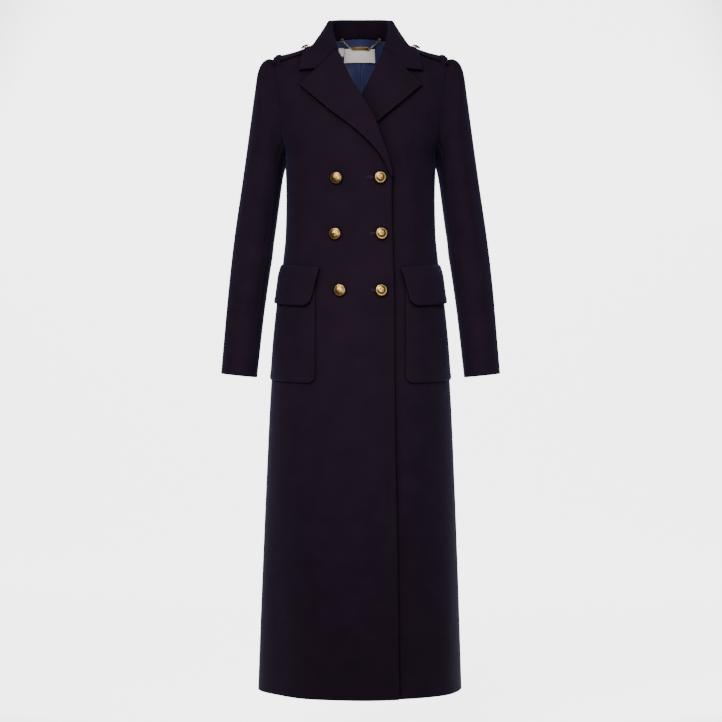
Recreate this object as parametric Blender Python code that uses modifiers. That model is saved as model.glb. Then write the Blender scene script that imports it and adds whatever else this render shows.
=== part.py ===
"""Double-breasted maxi coat of dark wool, filled out as if worn, with nothing inside it.

Metres, +Z up, front towards -Y, the wearer's left towards +X. The origin lies between the two
points where the shoulder seams meet the neck, which is where a wearer's shoulders hold the coat.
Each cloth piece starts as a flat grid, is thickened, and is then bent to the garment's shape.
"""

import math
from bisect import bisect_right
from collections import namedtuple

import bmesh
import bpy
from mathutils import Vector

# Cloth
CLOTH = 0.0022
DOUBLED_CLOTH = 0.0028
LINING_CLOTH = 0.0010
LABEL_CLOTH = 0.0010
SEAM_GAP = 0.0003
LAYER_GAP = 0.0005
HANGING_GAP = 0.0020

# Body of the coat
HEM_HEIGHT = -1.298
ARMPIT_HEIGHT = -0.250
SHOULDER_TIP_X = 0.177
NECK_SIDE_X = 0.072
BACK_NECK_RISE = 0.015
SHOULDER_ROUND = 0.110
SIDE_SEAM_ANGLE = 97.0

Section = namedtuple("Section", "height half_width front_depth back_depth squareness")
SECTIONS = [
    Section(-1.298, 0.2025, 0.1670, 0.158, 2.00),
    Section(-1.084, 0.1955, 0.1610, 0.153, 2.00),
    Section(-0.884, 0.1877, 0.1540, 0.147, 2.05),
    Section(-0.724, 0.1805, 0.1470, 0.141, 2.10),
    Section(-0.620, 0.1732, 0.1410, 0.131, 2.15),
    Section(-0.536, 0.1648, 0.1360, 0.112, 2.20),
    Section(-0.448, 0.1552, 0.1310, 0.094, 2.20),
    Section(-0.394, 0.1500, 0.1285, 0.088, 2.20),
    Section(-0.324, 0.1485, 0.1310, 0.093, 2.20),
    Section(-0.250, 0.1505, 0.1335, 0.103, 2.25),
    Section(-0.200, 0.1720, 0.1270, 0.107, 2.30),
    Section(-0.146, 0.1860, 0.1130, 0.107, 2.30),
    Section(-0.060, 0.1980, 0.0850, 0.099, 2.30),
    Section(0.000, 0.2040, 0.0640, 0.084, 2.30),
    Section(0.060, 0.2080, 0.0550, 0.070, 2.30),
]

ShoulderPoint = namedtuple("ShoulderPoint", "across height")
SHOULDER_LINE = [
    ShoulderPoint(0.000, 0.110),
    ShoulderPoint(0.040, 0.049),
    ShoulderPoint(0.060, 0.017),
    ShoulderPoint(NECK_SIDE_X, 0.000),
    ShoulderPoint(0.090, -0.0130),
    ShoulderPoint(0.117, -0.0270),
    ShoulderPoint(0.147, -0.0360),
    ShoulderPoint(SHOULDER_TIP_X, -0.042),
    ShoulderPoint(0.210, -0.052),
]

# turn is 0 at the shoulder tip and 1 under the arm; the angles are round the body from centre front
ArmholePoint = namedtuple("ArmholePoint", "turn front_angle back_angle")
ARMHOLE = [
    ArmholePoint(0.25, 59.0, 120.0),
    ArmholePoint(0.50, 57.5, 119.0),
    ArmholePoint(0.75, 67.0, 115.0),
    ArmholePoint(0.90, 82.0, 106.0),
    ArmholePoint(1.00, SIDE_SEAM_ANGLE, SIDE_SEAM_ANGLE),
]

# Front edge and roll line of a front, on the wearer's left; past 0 it crosses the centre
EdgePoint = namedtuple("EdgePoint", "across height")
FRONT_EDGE = [
    EdgePoint(-0.0748, -1.298),
    EdgePoint(-0.0719, -1.029),
    EdgePoint(-0.0664, -0.721),
    EdgePoint(-0.0650, -0.509),
    EdgePoint(-0.0610, -0.352),
    EdgePoint(-0.0607, -0.290),
    EdgePoint(-0.0550, -0.257),
    EdgePoint(-0.0400, -0.215),
    EdgePoint(-0.0270, -0.177),
    EdgePoint(0.0000, -0.1275),
    EdgePoint(0.0164, -0.0997),
    EdgePoint(0.0345, -0.0617),
    EdgePoint(0.0440, -0.0370),
    EdgePoint(0.0600, -0.0130),
    EdgePoint(NECK_SIDE_X, 0.000),
]
BREAK_HEIGHT = -0.292
LAPEL_FOOT_HEIGHT = -0.288
GORGE_HEIGHT = -0.037
# How far the left front sinks under the right one, and over what distance it gets there
LAP_SINK_AT_LAPEL = 0.0105
LAP_SINK_BELOW = 0.0034
LAP_SINK_TOP = -0.270
LAP_SINK_BOTTOM = -0.340
LAP_RAMP = 0.045

# Lapel
LAPEL_EDGE = [
    EdgePoint(-0.0570, -0.292),
    EdgePoint(-0.0520, -0.274),
    EdgePoint(-0.0350, -0.2445),
    EdgePoint(0.0010, -0.206),
    EdgePoint(0.0600, -0.1585),
    EdgePoint(0.1180, -0.1065),
]
ROLL_RADIUS = 0.0034
ROLL_RADIUS_AT_BREAK = 0.0018
LAPEL_EDGE_LIFT = 0.0030
# The lapel's foot starts this far up the roll line and this share of the way along its edge
LAPEL_START = 0.0005
LAPEL_EDGE_START = 0.06
NOTCH_SHARE = 0.56
GORGE_GAP = 0.0015
COLLAR_NOTCH_LIFT = 0.0048

# Collar: the neck seam, the roll and the outer edge, from centre back towards the gorge at share 1
CollarStation = namedtuple("CollarStation", "share seam roll edge")
COLLAR = [
    CollarStation(0.00, (0.000, 0.0800, 0.0160), (0.000, 0.0700, 0.0462), (0.000, 0.1010, -0.0260)),
    CollarStation(0.22, (0.042, 0.0610, 0.0105), (0.036, 0.0560, 0.0445), (0.052, 0.0930, -0.0220)),
    CollarStation(0.42, (0.064, 0.0280, 0.0040), (0.0552, 0.0260, 0.0382), (0.082, 0.0490, -0.0130)),
    CollarStation(0.58, (0.0700, -0.0030, 0.0020), (0.0575, -0.0040, 0.0310), (0.086, -0.0030, -0.0050)),
    CollarStation(0.68, (0.0660, -0.0220, -0.0040), (0.0560, -0.0220, 0.0185), (0.0975, -0.0230, -0.0220)),
    CollarStation(0.78, (0.0595, -0.0410, -0.0125), (0.0530, -0.0400, 0.0020), (0.116, -0.0420, -0.0400)),
]
COLLAR_CLEARANCE = 0.0030
COLLAR_ROWS = 36
COLLAR_POINT = EdgePoint(0.1180, -0.0770)

# Sleeve: rings from the cap to the wrist
SleeveRing = namedtuple("SleeveRing", "height centre_x centre_y half_width half_depth")
SLEEVE = [
    SleeveRing(-0.110, 0.1725, 0.000, 0.0388, 0.064),
    SleeveRing(-0.290, 0.1965, 0.000, 0.0394, 0.062),
    SleeveRing(-0.400, 0.2120, 0.004, 0.0402, 0.058),
    SleeveRing(-0.550, 0.2300, -0.004, 0.0376, 0.053),
    SleeveRing(-0.6750, 0.2418, -0.020, 0.0360, 0.048),
]
CUFF_SEAM_HEIGHT = -0.550
SLEEVE_RING_SLOPE = 0.105
# How far the cap pushes out of the armhole and runs down the arm before it bends, over and under the arm
CAP_PUSH_OVER, CAP_PUSH_UNDER = 0.082, 0.012
CAP_RUN_OVER, CAP_RUN_UNDER = 0.080, 0.050
# The cap ends at these heights, where the arm's rings take over
CAP_END_OVER, CAP_END_UNDER = -0.110, -0.290
# How steeply the sleeve head rises out of the shoulder seam, and its gap from the armhole
CAP_ROPE = 0.50
CAP_GAP = 0.00075

# Pockets and flaps
POCKET_INNER_X = 0.088
POCKET_OUTER_ANGLE = 94.0
POCKET_TOP, POCKET_BOTTOM = -0.480, -0.690
POCKET_RISE = 0.008
POCKET_CORNER = 0.013
POCKET_FULLNESS = 0.0022
POCKET_COLUMNS = 10
FLAP_INNER_TOP_X, FLAP_INNER_BOTTOM_X = 0.078, 0.097
FLAP_OUTER_ANGLE = 94.5
FLAP_TOP, FLAP_BOTTOM = -0.462, -0.540
FLAP_CORNER = 0.014
FLAP_GAP = 0.0008
FLAP_LIFT = 0.0076
FLAP_STEP = 0.014
FLAP_RISE = 0.0096
FLAP_OUTER_CORNER = 0.7

# Shoulder straps
STRAP_SLEEVE_END, STRAP_TIP = 0.1735, 0.0985
STRAP_POINT = 0.014
STRAP_WIDTH_AT_SLEEVE, STRAP_WIDTH_AT_TIP = 0.046, 0.038
STRAP_TIP_Y, STRAP_SLEEVE_Y = -0.012, -0.003
LOOP_CENTRE_X, LOOP_WIDTH = 0.163, 0.010
LOOP_OVERHANG = 0.0048
LOOP_CLOTH = 0.0016
STRAP_BUTTON_X = 0.1085

# Buttons: centres on the right front
ButtonPlace = namedtuple("ButtonPlace", "name across height")
FRONT_BUTTONS = [
    ButtonPlace("button_edge_top", 0.0375, -0.290),
    ButtonPlace("button_edge_middle", 0.0400, -0.3985),
    ButtonPlace("button_edge_bottom", 0.0394, -0.509),
    ButtonPlace("button_inner_top", -0.0466, -0.291),
    ButtonPlace("button_inner_middle", -0.0489, -0.399),
    ButtonPlace("button_inner_bottom", -0.0400, -0.509),
]
BUTTON_RADIUS = 0.0116
STRAP_BUTTON_RADIUS = 0.0088

# Inside the back neck
LABEL_LEFT, LABEL_RIGHT = -0.0355, 0.0310
LABEL_TOP, LABEL_BOTTOM = -0.0080, -0.0352
SIZE_LABEL_LEFT, SIZE_LABEL_RIGHT = -0.0480, -0.0365
SIZE_LABEL_TOP, SIZE_LABEL_BOTTOM = -0.0072, -0.0220
RING_X, RING_HEIGHT = 0.041, 0.0080
RING_RADIUS, RING_WIRE = 0.0032, 0.0006
RING_STAND_OFF = 0.0019
PLATE_HALF_LENGTH, PLATE_HEIGHT, PLATE_THICKNESS = 0.019, 0.0056, 0.0014
PLATE_CENTRE_HEIGHT = -0.0065
CHAIN_WIRE = 0.0011
CHAIN_SAG = 0.0015

WOOL = ("dark_wool", (0.014, 0.010, 0.018), 0.92, 0.0)
SATIN = ("blue_lining", (0.022, 0.036, 0.110), 0.45, 0.0)
BRASS = ("old_brass", (0.42, 0.27, 0.085), 0.34, 1.0)
LABEL = ("woven_label", (0.52, 0.48, 0.44), 0.75, 0.0)

# Small steps over which slopes are taken, as a share of a piece and in metres
DIFFERENCE = 0.002
ARM_STEP = 0.010


def smooth_curve(knots, values):
    """Returns a function: a curve through the knots that turns smoothly and never overshoots them."""
    pairs = sorted(zip(knots, values))
    knots = [pair[0] for pair in pairs]
    values = [pair[1] for pair in pairs]
    steps = [b - a for a, b in zip(knots, knots[1:])]
    rises = [(b - a) / step for a, b, step in zip(values, values[1:], steps)]
    slopes = [rises[0]]
    for before, after in zip(rises, rises[1:]):
        slopes.append(0.0 if before * after <= 0 else 2 * before * after / (before + after))
    slopes.append(rises[-1])

    def at(knot):
        knot = min(max(knot, knots[0]), knots[-1])
        i = min(bisect_right(knots, knot) - 1, len(steps) - 1)
        t = (knot - knots[i]) / steps[i]
        start = values[i] * (1 + 2 * t) * (1 - t) ** 2 + steps[i] * slopes[i] * t * (1 - t) ** 2
        end = values[i + 1] * t * t * (3 - 2 * t) - steps[i] * slopes[i + 1] * t * t * (1 - t)
        return start + end

    return at


def column(rows, name, key):
    """A smooth curve of one named column of a table against another."""
    return smooth_curve([getattr(row, key) for row in rows], [getattr(row, name) for row in rows])


def path(points):
    """A function from 0 to 1 along the points by their distance apart, as a list of coordinates."""
    lengths = [0.0]
    for a, b in zip(points, points[1:]):
        lengths.append(lengths[-1] + math.dist(a, b))
    shares = [length / lengths[-1] for length in lengths]
    curves = [smooth_curve(shares, [point[i] for point in points]) for i in range(len(points[0]))]
    return lambda share: [curve(share) for curve in curves]


def mix(a, b, share):
    return a + (b - a) * share


def ease(share):
    """0 to 1 with level ends."""
    share = min(max(share, 0.0), 1.0)
    return share * share * (3 - 2 * share)


def power(value, exponent):
    return math.copysign(abs(value) ** exponent, value)


half_width = column(SECTIONS, "half_width", "height")
front_depth = column(SECTIONS, "front_depth", "height")
back_depth = column(SECTIONS, "back_depth", "height")
squareness = column(SECTIONS, "squareness", "height")
shoulder_height = column(SHOULDER_LINE, "height", "across")
front_edge_x = column(FRONT_EDGE, "across", "height")
SHOULDER_TIP_HEIGHT = shoulder_height(SHOULDER_TIP_X)
SHOULDER_SEAM_LEVEL = SHOULDER_TIP_HEIGHT - 0.020


def angle_at(across, height):
    """The angle round the body, from centre front, of a point that far from the centre."""
    share = min(abs(across) / half_width(height), 1.0)
    return math.copysign(math.degrees(math.asin(share ** (squareness(height) / 2))), across)


def rounding(drop):
    """How much of the full depth the body has this far below the shoulder line."""
    share = min(max(drop / SHOULDER_ROUND, 0.0), 1.0)
    return math.sqrt(1 - (1 - share) ** 2)


def body_point(angle, height):
    """A point on the coat's outer surface: angle 0 is centre front and 90 the wearer's left side."""
    sine, cosine = math.sin(math.radians(angle)), math.cos(math.radians(angle))
    exponent = 2 / squareness(height)
    depth = front_depth(height) if cosine > 0 else back_depth(height)
    x = half_width(height) * power(sine, exponent)
    y = -depth * power(cosine, exponent) * rounding(shoulder_height(abs(x)) - height)
    return Vector((x, y, height))


def body_normal(angle, height):
    turn, rise = 0.2, 0.001
    along = body_point(angle + turn, height) - body_point(angle - turn, height)
    up = body_point(angle, height + rise) - body_point(angle, height - rise)
    return along.cross(up).normalized()


def on_body(angle, height, lift):
    return body_point(angle, height) + body_normal(angle, height) * lift


def on_front(across, height, lift):
    return on_body(angle_at(across, height), height, lift)


def shoulder_depth(across, height):
    """Full depth of the body at a distance from the centre, in front and behind."""
    share = max(1 - (min(abs(across) / half_width(height), 1.0)) ** squareness(height), 0.0)
    share = share ** (1 / squareness(height))
    return front_depth(height) * share, back_depth(height) * share


def shoulder_top(across, y):
    """Height of the shoulder over a point in plan, or None outside it."""
    height = shoulder_height(abs(across))
    for _ in range(4):
        front, back = shoulder_depth(across, height)
        share = abs(y) / (front if y < 0 else back)
        if share >= 1:
            return None
        height = shoulder_height(abs(across)) - SHOULDER_ROUND * (1 - math.sqrt(1 - share * share))
    return height


def on_shoulder(across, y, lift):
    """A point over the shoulder, moved out from the cloth."""
    step = 0.002
    here = Vector((across, y, shoulder_top(across, y)))
    outward = Vector((across + step, y, shoulder_top(across + step, y))) - here
    backward = Vector((across, y + step, shoulder_top(across, y + step))) - here
    return here + outward.cross(backward).normalized() * lift


def clear_of_body(point, clearance):
    """Moves a point out to a clearance from the coat's shoulders, chest and back, if it is nearer."""
    x, y, z = point
    front, back = shoulder_depth(x, z)
    full = front if y < 0 else back
    short_y = full * rounding(shoulder_height(abs(x)) - z) + clearance - abs(y)
    if short_y <= 0:
        return point
    top = shoulder_top(x, y)
    if top is None:
        return point + Vector((0, math.copysign(short_y, y), 0))
    short_z = top + clearance - z
    if short_z <= 0:
        return point
    share = short_y * short_z / (short_y ** 2 + short_z ** 2)
    return point + Vector((0, math.copysign(short_z, y), short_y)) * share


def with_lift(shape, facing):
    """Turns a surface of (across, along) into one of (across, along, lift), moved out along its normal."""

    def lifted(across, along, lift):
        across_span = [min(max(across + d, 0.0), 1.0) for d in (-DIFFERENCE, DIFFERENCE)]
        along_span = [min(max(along + d, 0.0), 1.0) for d in (-DIFFERENCE, DIFFERENCE)]
        sideways = shape(across_span[1], along) - shape(across_span[0], along)
        upward = shape(across, along_span[1]) - shape(across, along_span[0])
        return shape(across, along) + sideways.cross(upward).normalized() * (lift * facing)

    return lifted


def mirrored(shape):
    """The same surface on the wearer's other side."""

    def other(*place):
        point = shape(*place)
        return Vector((-point.x, point.y, point.z))

    return other


def reset_scene():
    for old in list(bpy.data.objects):
        bpy.data.objects.remove(old)


def make_material(name, colour, roughness, metallic):
    material = bpy.data.materials.new(name)
    material.use_nodes = True
    shader = material.node_tree.nodes["Principled BSDF"]
    shader.inputs["Base Color"].default_value = (*colour, 1)
    shader.inputs["Roughness"].default_value = roughness
    shader.inputs["Metallic"].default_value = metallic
    return material


def add_object(name, data, material):
    made = bpy.data.objects.new(name, data)
    data.materials.append(material)
    coat.objects.link(made)
    return made


def cloth(name, shape, columns, rows, inner, outer, material):
    """A flat grid, thickened and bent: shape(across, along, lift) gives the place of each point."""
    bm = bmesh.new()
    bmesh.ops.create_grid(bm, x_segments=columns, y_segments=rows, size=0.5)
    raised = bmesh.ops.extrude_face_region(bm, geom=bm.faces[:])["geom"]
    upper = [item for item in raised if isinstance(item, bmesh.types.BMVert)]
    bmesh.ops.translate(bm, vec=(0, 0, 1), verts=upper)
    for vert in bm.verts:
        across, along = vert.co.x + 0.5, vert.co.y + 0.5
        lifts = outer if vert.co.z > 0.5 else inner
        vert.co = shape(across, along, lifts(across, along) if callable(lifts) else lifts)
    bmesh.ops.recalc_face_normals(bm, faces=bm.faces[:])
    if bm.calc_volume(signed=True) < 0:
        bmesh.ops.reverse_faces(bm, faces=bm.faces[:])
    mesh = bpy.data.meshes.new(name)
    bm.to_mesh(mesh)
    bm.free()
    mesh.shade_smooth()
    mesh.set_sharp_from_angle(angle=math.radians(40))
    return add_object(name, mesh, material)


# Fronts and back: rows of the grid from hem to shoulder, and the height each one has at the front edge
RowPlace = namedtuple("RowPlace", "row front_edge back_centre")
ROWS = [
    RowPlace(0, HEM_HEIGHT, HEM_HEIGHT),
    RowPlace(11, -0.394, -0.394),
    RowPlace(13, BREAK_HEIGHT, BREAK_HEIGHT),
    RowPlace(14, LAPEL_FOOT_HEIGHT, LAPEL_FOOT_HEIGHT),
    RowPlace(15, ARMPIT_HEIGHT, ARMPIT_HEIGHT),
    RowPlace(22, GORGE_HEIGHT, -0.0550),
    RowPlace(23, -0.0214, -0.0244),
    RowPlace(24, -0.0105, -0.0025),
    RowPlace(25, -0.0046, 0.0106),
    RowPlace(26, -0.0025, BACK_NECK_RISE),
]
LAPEL_FOOT_ROW, ARMPIT_ROW, GORGE_ROW, LAST_ROW = 14, 15, 22, 26
LINING_TOP_ROW = LAST_ROW - 1
FRONT_COLUMNS, BACK_COLUMNS = 12, 20
# Above 1, the back's columns stand closer together towards centre back, where the neck is most curved
BACK_COLUMN_SPREAD = 1.3

shoulder_tip_angle = angle_at(SHOULDER_TIP_X, SHOULDER_TIP_HEIGHT)
armhole_points = [ArmholePoint(0.0, shoulder_tip_angle, 180 - shoulder_tip_angle)] + ARMHOLE
armhole_front = column(armhole_points, "front_angle", "turn")
armhole_back = column(armhole_points, "back_angle", "turn")
lapel_path = path(LAPEL_EDGE)


def row_height(along, name):
    """Height of a row of the grid at the front edge or at centre back, in straight steps between ROWS."""
    row = along * LAST_ROW
    for low, high in zip(ROWS, ROWS[1:]):
        if row <= high.row:
            share = (row - low.row) / (high.row - low.row)
            return mix(getattr(low, name), getattr(high, name), share)
    return getattr(ROWS[-1], name)


def armhole_height(turn):
    return mix(SHOULDER_TIP_HEIGHT, ARMPIT_HEIGHT, (1 - math.cos(math.pi * turn)) / 2)


def armhole_climb(along):
    """0 up to the armpit, then 0 to 1 from the armpit to the shoulder seam."""
    return max((along * LAST_ROW - ARMPIT_ROW) / (LAST_ROW - ARMPIT_ROW), 0.0)


def seam_turn(height):
    """Half a seam's gap, as an angle round the body."""
    return math.degrees(SEAM_GAP / 2 / half_width(height))


def across_at(angle, height):
    return half_width(height) * power(math.sin(math.radians(angle)), 2 / squareness(height))


def roll_radius(height):
    climb = (height - BREAK_HEIGHT) / (GORGE_HEIGHT - BREAK_HEIGHT)
    return mix(ROLL_RADIUS_AT_BREAK, ROLL_RADIUS, ease(climb * 3))


def edge_inset(height):
    """The front stops short of the roll line, where the lapel's roll takes over."""
    share = (height - BREAK_HEIGHT) / (LAPEL_FOOT_HEIGHT - BREAK_HEIGHT)
    return (roll_radius(height) + SEAM_GAP) * min(max(share, 0.0), 1.0)


def back_top(across):
    """Height of the back's upper edge: the neck seam, then the shoulder seam."""
    if across > NECK_SIDE_X:
        return shoulder_height(across)
    return BACK_NECK_RISE * (1 - (across / NECK_SIDE_X) ** 2)


def upper_height(angle, share, top):
    """Height that lies this share of the way from the armpit's level up to the piece's upper edge."""
    height = ARMPIT_HEIGHT
    for _ in range(6):
        height = mix(ARMPIT_HEIGHT, top(abs(across_at(angle, height))), share)
    return height


def panel_point(inner_angle, outer_angle, inner_height, across, climb, top):
    """A point of a front or back: rows lie level up to the armpit, then fan out to the upper edge."""
    angle = mix(inner_angle, outer_angle, across)
    if climb <= 0:
        return body_point(angle, inner_height)
    shares = []
    for end_angle, end_height in ((inner_angle, inner_height), (outer_angle, armhole_height(1 - climb))):
        rise = top(abs(across_at(end_angle, end_height))) - ARMPIT_HEIGHT
        shares.append(min((end_height - ARMPIT_HEIGHT) / rise, 1.0))
    share = mix(*shares, across) if climb < 1 else 1.0
    return body_point(angle, upper_height(angle, share, top))


def front_shape(across, along):
    """A front on the wearer's left: across from the front edge to the side, along from hem to shoulder."""
    climb = armhole_climb(along)
    height = row_height(along, "front_edge")
    inner_angle = angle_at(front_edge_x(height) + edge_inset(height), height)
    outer_angle = armhole_front(1 - climb) - seam_turn(height)
    return panel_point(inner_angle, outer_angle, height, across, climb, shoulder_height)


def back_shape(across, along):
    """The wearer's left half of the back: across from centre back to side, along from hem to shoulder."""
    climb = armhole_climb(along)
    outer_angle = armhole_back(1 - climb) + seam_turn(row_height(along, "back_centre"))
    spread = across ** BACK_COLUMN_SPREAD
    return panel_point(180.0, outer_angle, row_height(along, "back_centre"), spread, climb, back_top)


def whole_back(across, along):
    """Both halves of the back: across from the wearer's left side to the right one."""
    half = back_shape if across <= 0.5 else mirrored(back_shape)
    return half(abs(1 - 2 * across), along)


def beside_shoulder_seam(lifted, side):
    """Keeps a piece on its own side of the shoulder seam, which runs over the top at y = 0."""

    def kept(across, along, lift):
        point = lifted(across, along, lift)
        if point.z > SHOULDER_SEAM_LEVEL:
            point.y = side * max(side * point.y, SEAM_GAP / 2)
        return point

    return kept


def lap_sink(across, height):
    """How far the left front lies inside the right one, which covers it up to its own edge."""
    if height > GORGE_HEIGHT:
        return 0.0
    covered = -front_edge_x(height) - across
    below = ease((height - LAP_SINK_TOP) / (LAP_SINK_BOTTOM - LAP_SINK_TOP))
    return mix(LAP_SINK_AT_LAPEL, LAP_SINK_BELOW, below) * ease((covered + LAP_RAMP) / LAP_RAMP)


def sunk(shape):
    """The same piece, laid under the other front."""

    def lower(*place):
        point = shape(*place)
        sink = lap_sink(point.x, point.z) if point.y < 0 else 0.0
        if sink <= 0:
            return point
        return point - body_normal(angle_at(point.x, point.z), point.z) * sink

    return lower


def build_body():
    right = beside_shoulder_seam(with_lift(mirrored(front_shape), -1), -1)
    left = beside_shoulder_seam(with_lift(sunk(front_shape), 1), -1)
    back = beside_shoulder_seam(with_lift(whole_back, 1), 1)
    cloth("front_right", right, FRONT_COLUMNS, LAST_ROW, -CLOTH, 0.0, wool)
    cloth("front_left", left, FRONT_COLUMNS, LAST_ROW, -CLOTH, 0.0, wool)
    cloth("back", back, BACK_COLUMNS, LAST_ROW, -CLOTH, 0.0, wool)


# Lapels and collar: the cloth turns over a roll, from under the front's edge to a fall lying on the chest
ARC_COLUMNS, FALL_COLUMNS, STAND_COLUMNS = 6, 5, 2
LAPEL_ROWS = GORGE_ROW - LAPEL_FOOT_ROW


def rolled_over(roll, edge, radius, edge_lift, share):
    """A point of a section turned over at the roll, as (place on the front, height above it)."""
    arc_share = ARC_COLUMNS / (ARC_COLUMNS + FALL_COLUMNS)
    turned = math.pi * min(share / arc_share, 1.0)
    height = -CLOTH / 2 + radius * (1 - math.cos(turned))
    place = roll + Vector((radius * (1 - math.sin(turned)), 0.0))
    fall = max((share - arc_share) / (1 - arc_share), 0.0)
    return place.lerp(edge, fall), mix(height, edge_lift, fall)


def lapel_section(along):
    """Roll point, edge point and roll radius of the lapel, from its foot to the gorge."""
    row = LAPEL_FOOT_ROW + along * LAPEL_ROWS
    roll_height = row_height(row / LAST_ROW, "front_edge") + LAPEL_START * (1 - along)
    roll = Vector((front_edge_x(roll_height), roll_height))
    return roll, Vector(lapel_path(mix(LAPEL_EDGE_START, 1.0, along))), roll_radius(roll_height)


def lapel_shape(across, along):
    """A lapel on the wearer's left: across from the roll's underside to the outer edge."""
    roll, edge, radius = lapel_section(along)
    place, height = rolled_over(roll, edge, radius, LAPEL_EDGE_LIFT, across)
    return on_front(place.x, place.y, height)


def build_lapels():
    columns = ARC_COLUMNS + FALL_COLUMNS
    half = CLOTH / 2
    cloth("lapel_right", with_lift(mirrored(lapel_shape), 1), columns, LAPEL_ROWS, -half, half, wool)
    cloth("lapel_left", with_lift(sunk(lapel_shape), -1), columns, LAPEL_ROWS, -half, half, wool)


def collar_points(station):
    """Points of one section of the collar: up the stand, over the roll and down the fall."""
    seam, roll, edge = Vector(station.seam), Vector(station.roll), Vector(station.edge)
    up = (roll - seam).normalized()
    outward = edge - roll
    outward = (outward - up * outward.dot(up)).normalized()
    centre = roll - up * ROLL_RADIUS + outward * ROLL_RADIUS
    foot = centre - outward * ROLL_RADIUS
    points = [seam.lerp(foot, i / STAND_COLUMNS) for i in range(STAND_COLUMNS)]
    turns = ARC_COLUMNS - STAND_COLUMNS
    for i in range(turns + 1):
        turned = math.pi * i / turns
        points.append(centre + (up * math.sin(turned) - outward * math.cos(turned)) * ROLL_RADIUS)
    start = points[-1]
    for i in range(1, FALL_COLUMNS + 1):
        point = start.lerp(edge, i / FALL_COLUMNS)
        points.append(clear_of_body(point, COLLAR_CLEARANCE))
    return points


def collar_end_points():
    """The collar's front end: along the top of the lapel to the notch, then out to the collar's point."""
    roll, edge, radius = lapel_section(1.0)
    notch = roll.lerp(edge, NOTCH_SHARE)
    columns = ARC_COLUMNS + FALL_COLUMNS
    arc_share = ARC_COLUMNS / columns
    shares = [arc_share * i / ARC_COLUMNS for i in range(ARC_COLUMNS)]
    shares += [mix(arc_share, 1.0, i / (FALL_COLUMNS - 1)) for i in range(FALL_COLUMNS)]
    places = [rolled_over(roll, notch, radius, COLLAR_NOTCH_LIFT, share) for share in shares]
    places.append((Vector(COLLAR_POINT), LAPEL_EDGE_LIFT))
    straight_up = Vector((0.0, GORGE_GAP))
    from_lapel = Vector((GORGE_GAP, GORGE_GAP)) * math.sqrt(0.5)
    points = []
    for i, (place, height) in enumerate(places):
        place = place + (straight_up if i < ARC_COLUMNS else from_lapel)
        points.append(on_front(place.x, place.y, height))
    return points


def collar_curves():
    """For each column of the collar, its x, y and z against the share of the way from centre back."""
    sections = [collar_points(station) for station in COLLAR] + [collar_end_points()]
    shares = [station.share for station in COLLAR] + [1.0]
    columns = []
    for points in zip(*sections):
        columns.append([smooth_curve(shares, [point[axis] for point in points]) for axis in range(3)])
    return columns


def build_collar():
    columns = collar_curves()
    count = len(columns) - 1

    def half(across, along):
        low = min(int(across * count), count - 1)
        share = across * count - low
        before = Vector([curve(along) for curve in columns[low]])
        after = Vector([curve(along) for curve in columns[low + 1]])
        return before.lerp(after, share)

    def whole(across, along):
        side = half if along <= 0.5 else mirrored(half)
        return side(across, abs(1 - 2 * along))

    thick = DOUBLED_CLOTH / 2
    cloth("collar", with_lift(whole, 1), count, COLLAR_ROWS, -thick, thick, wool)


# Sleeves
sleeve_centre_x = column(SLEEVE, "centre_x", "height")
sleeve_centre_y = column(SLEEVE, "centre_y", "height")
sleeve_half_width = column(SLEEVE, "half_width", "height")
sleeve_half_depth = column(SLEEVE, "half_depth", "height")
WRIST = SLEEVE[-1].height


def sleeve_ring(angle, height):
    """A point round the sleeve: angle 0 is outward, 90 to the front, 180 towards the body."""
    cosine, sine = math.cos(math.radians(angle)), math.sin(math.radians(angle))
    out = sleeve_half_width(height) * cosine
    x, y = sleeve_centre_x(height) + out, sleeve_centre_y(height) - sleeve_half_depth(height) * sine
    return Vector((x, y, height + out * SLEEVE_RING_SLOPE))


def armhole_frame(angle):
    """A point of the armhole for an angle round the sleeve, and the way the cloth leaves it."""
    turned = (angle + 180) % 360 - 180

    def at(turn):
        share = min(abs(turn), 360 - abs(turn)) / 180
        front = 0 <= turn <= 180 or turn < -180
        height = armhole_height(share)
        return (armhole_front if front else armhole_back)(share), height

    body_angle, height = at(turned)
    here = body_point(body_angle, height)
    along = body_point(*at(turned + 1)) - body_point(*at(turned - 1))
    normal = body_normal(body_angle, min(height, SHOULDER_TIP_HEIGHT - 0.004))
    return here, normal.cross(along).normalized(), normal


def over_arm(angle):
    """1 along the top of the sleeve, 0 under the arm."""
    return (1 + math.cos(math.radians(angle))) / 2


def cap_end(angle):
    return mix(CAP_END_UNDER, CAP_END_OVER, over_arm(angle))


def cap_point(angle, share):
    """From the armhole to the arm, leaving in line with the body and arriving in line with the arm."""
    start, leaving, normal = armhole_frame(angle)
    over = over_arm(angle)
    start = start + leaving * CAP_GAP
    leaving = leaving + normal * CAP_ROPE * over ** 4
    end = sleeve_ring(angle, cap_end(angle))
    arriving = (sleeve_ring(angle, cap_end(angle) - ARM_STEP) - end).normalized()
    push = leaving * mix(CAP_PUSH_UNDER, CAP_PUSH_OVER, over)
    run = arriving * mix(CAP_RUN_UNDER, CAP_RUN_OVER, over)
    t = share
    return (
        start * ((1 + 2 * t) * (1 - t) ** 2)
        + push * (t * (1 - t) ** 2)
        + end * (t * t * (3 - 2 * t))
        - run * (t * t * (1 - t))
    )


CAP_ROWS, ARM_ROWS, CUFF_ROWS = 7, 6, 3
# The sleeve's columns meet the armhole where the rows of the front and back do
COLUMN_ANGLE = 180 / (LAST_ROW - ARMPIT_ROW)
TOP_SLEEVE_COLUMNS = (-8, 8)
UNDER_SLEEVE_COLUMNS = (8, 14)
CUFF_COLUMNS = (-8, 14)


def column_count(columns):
    return columns[1] - columns[0]


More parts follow.
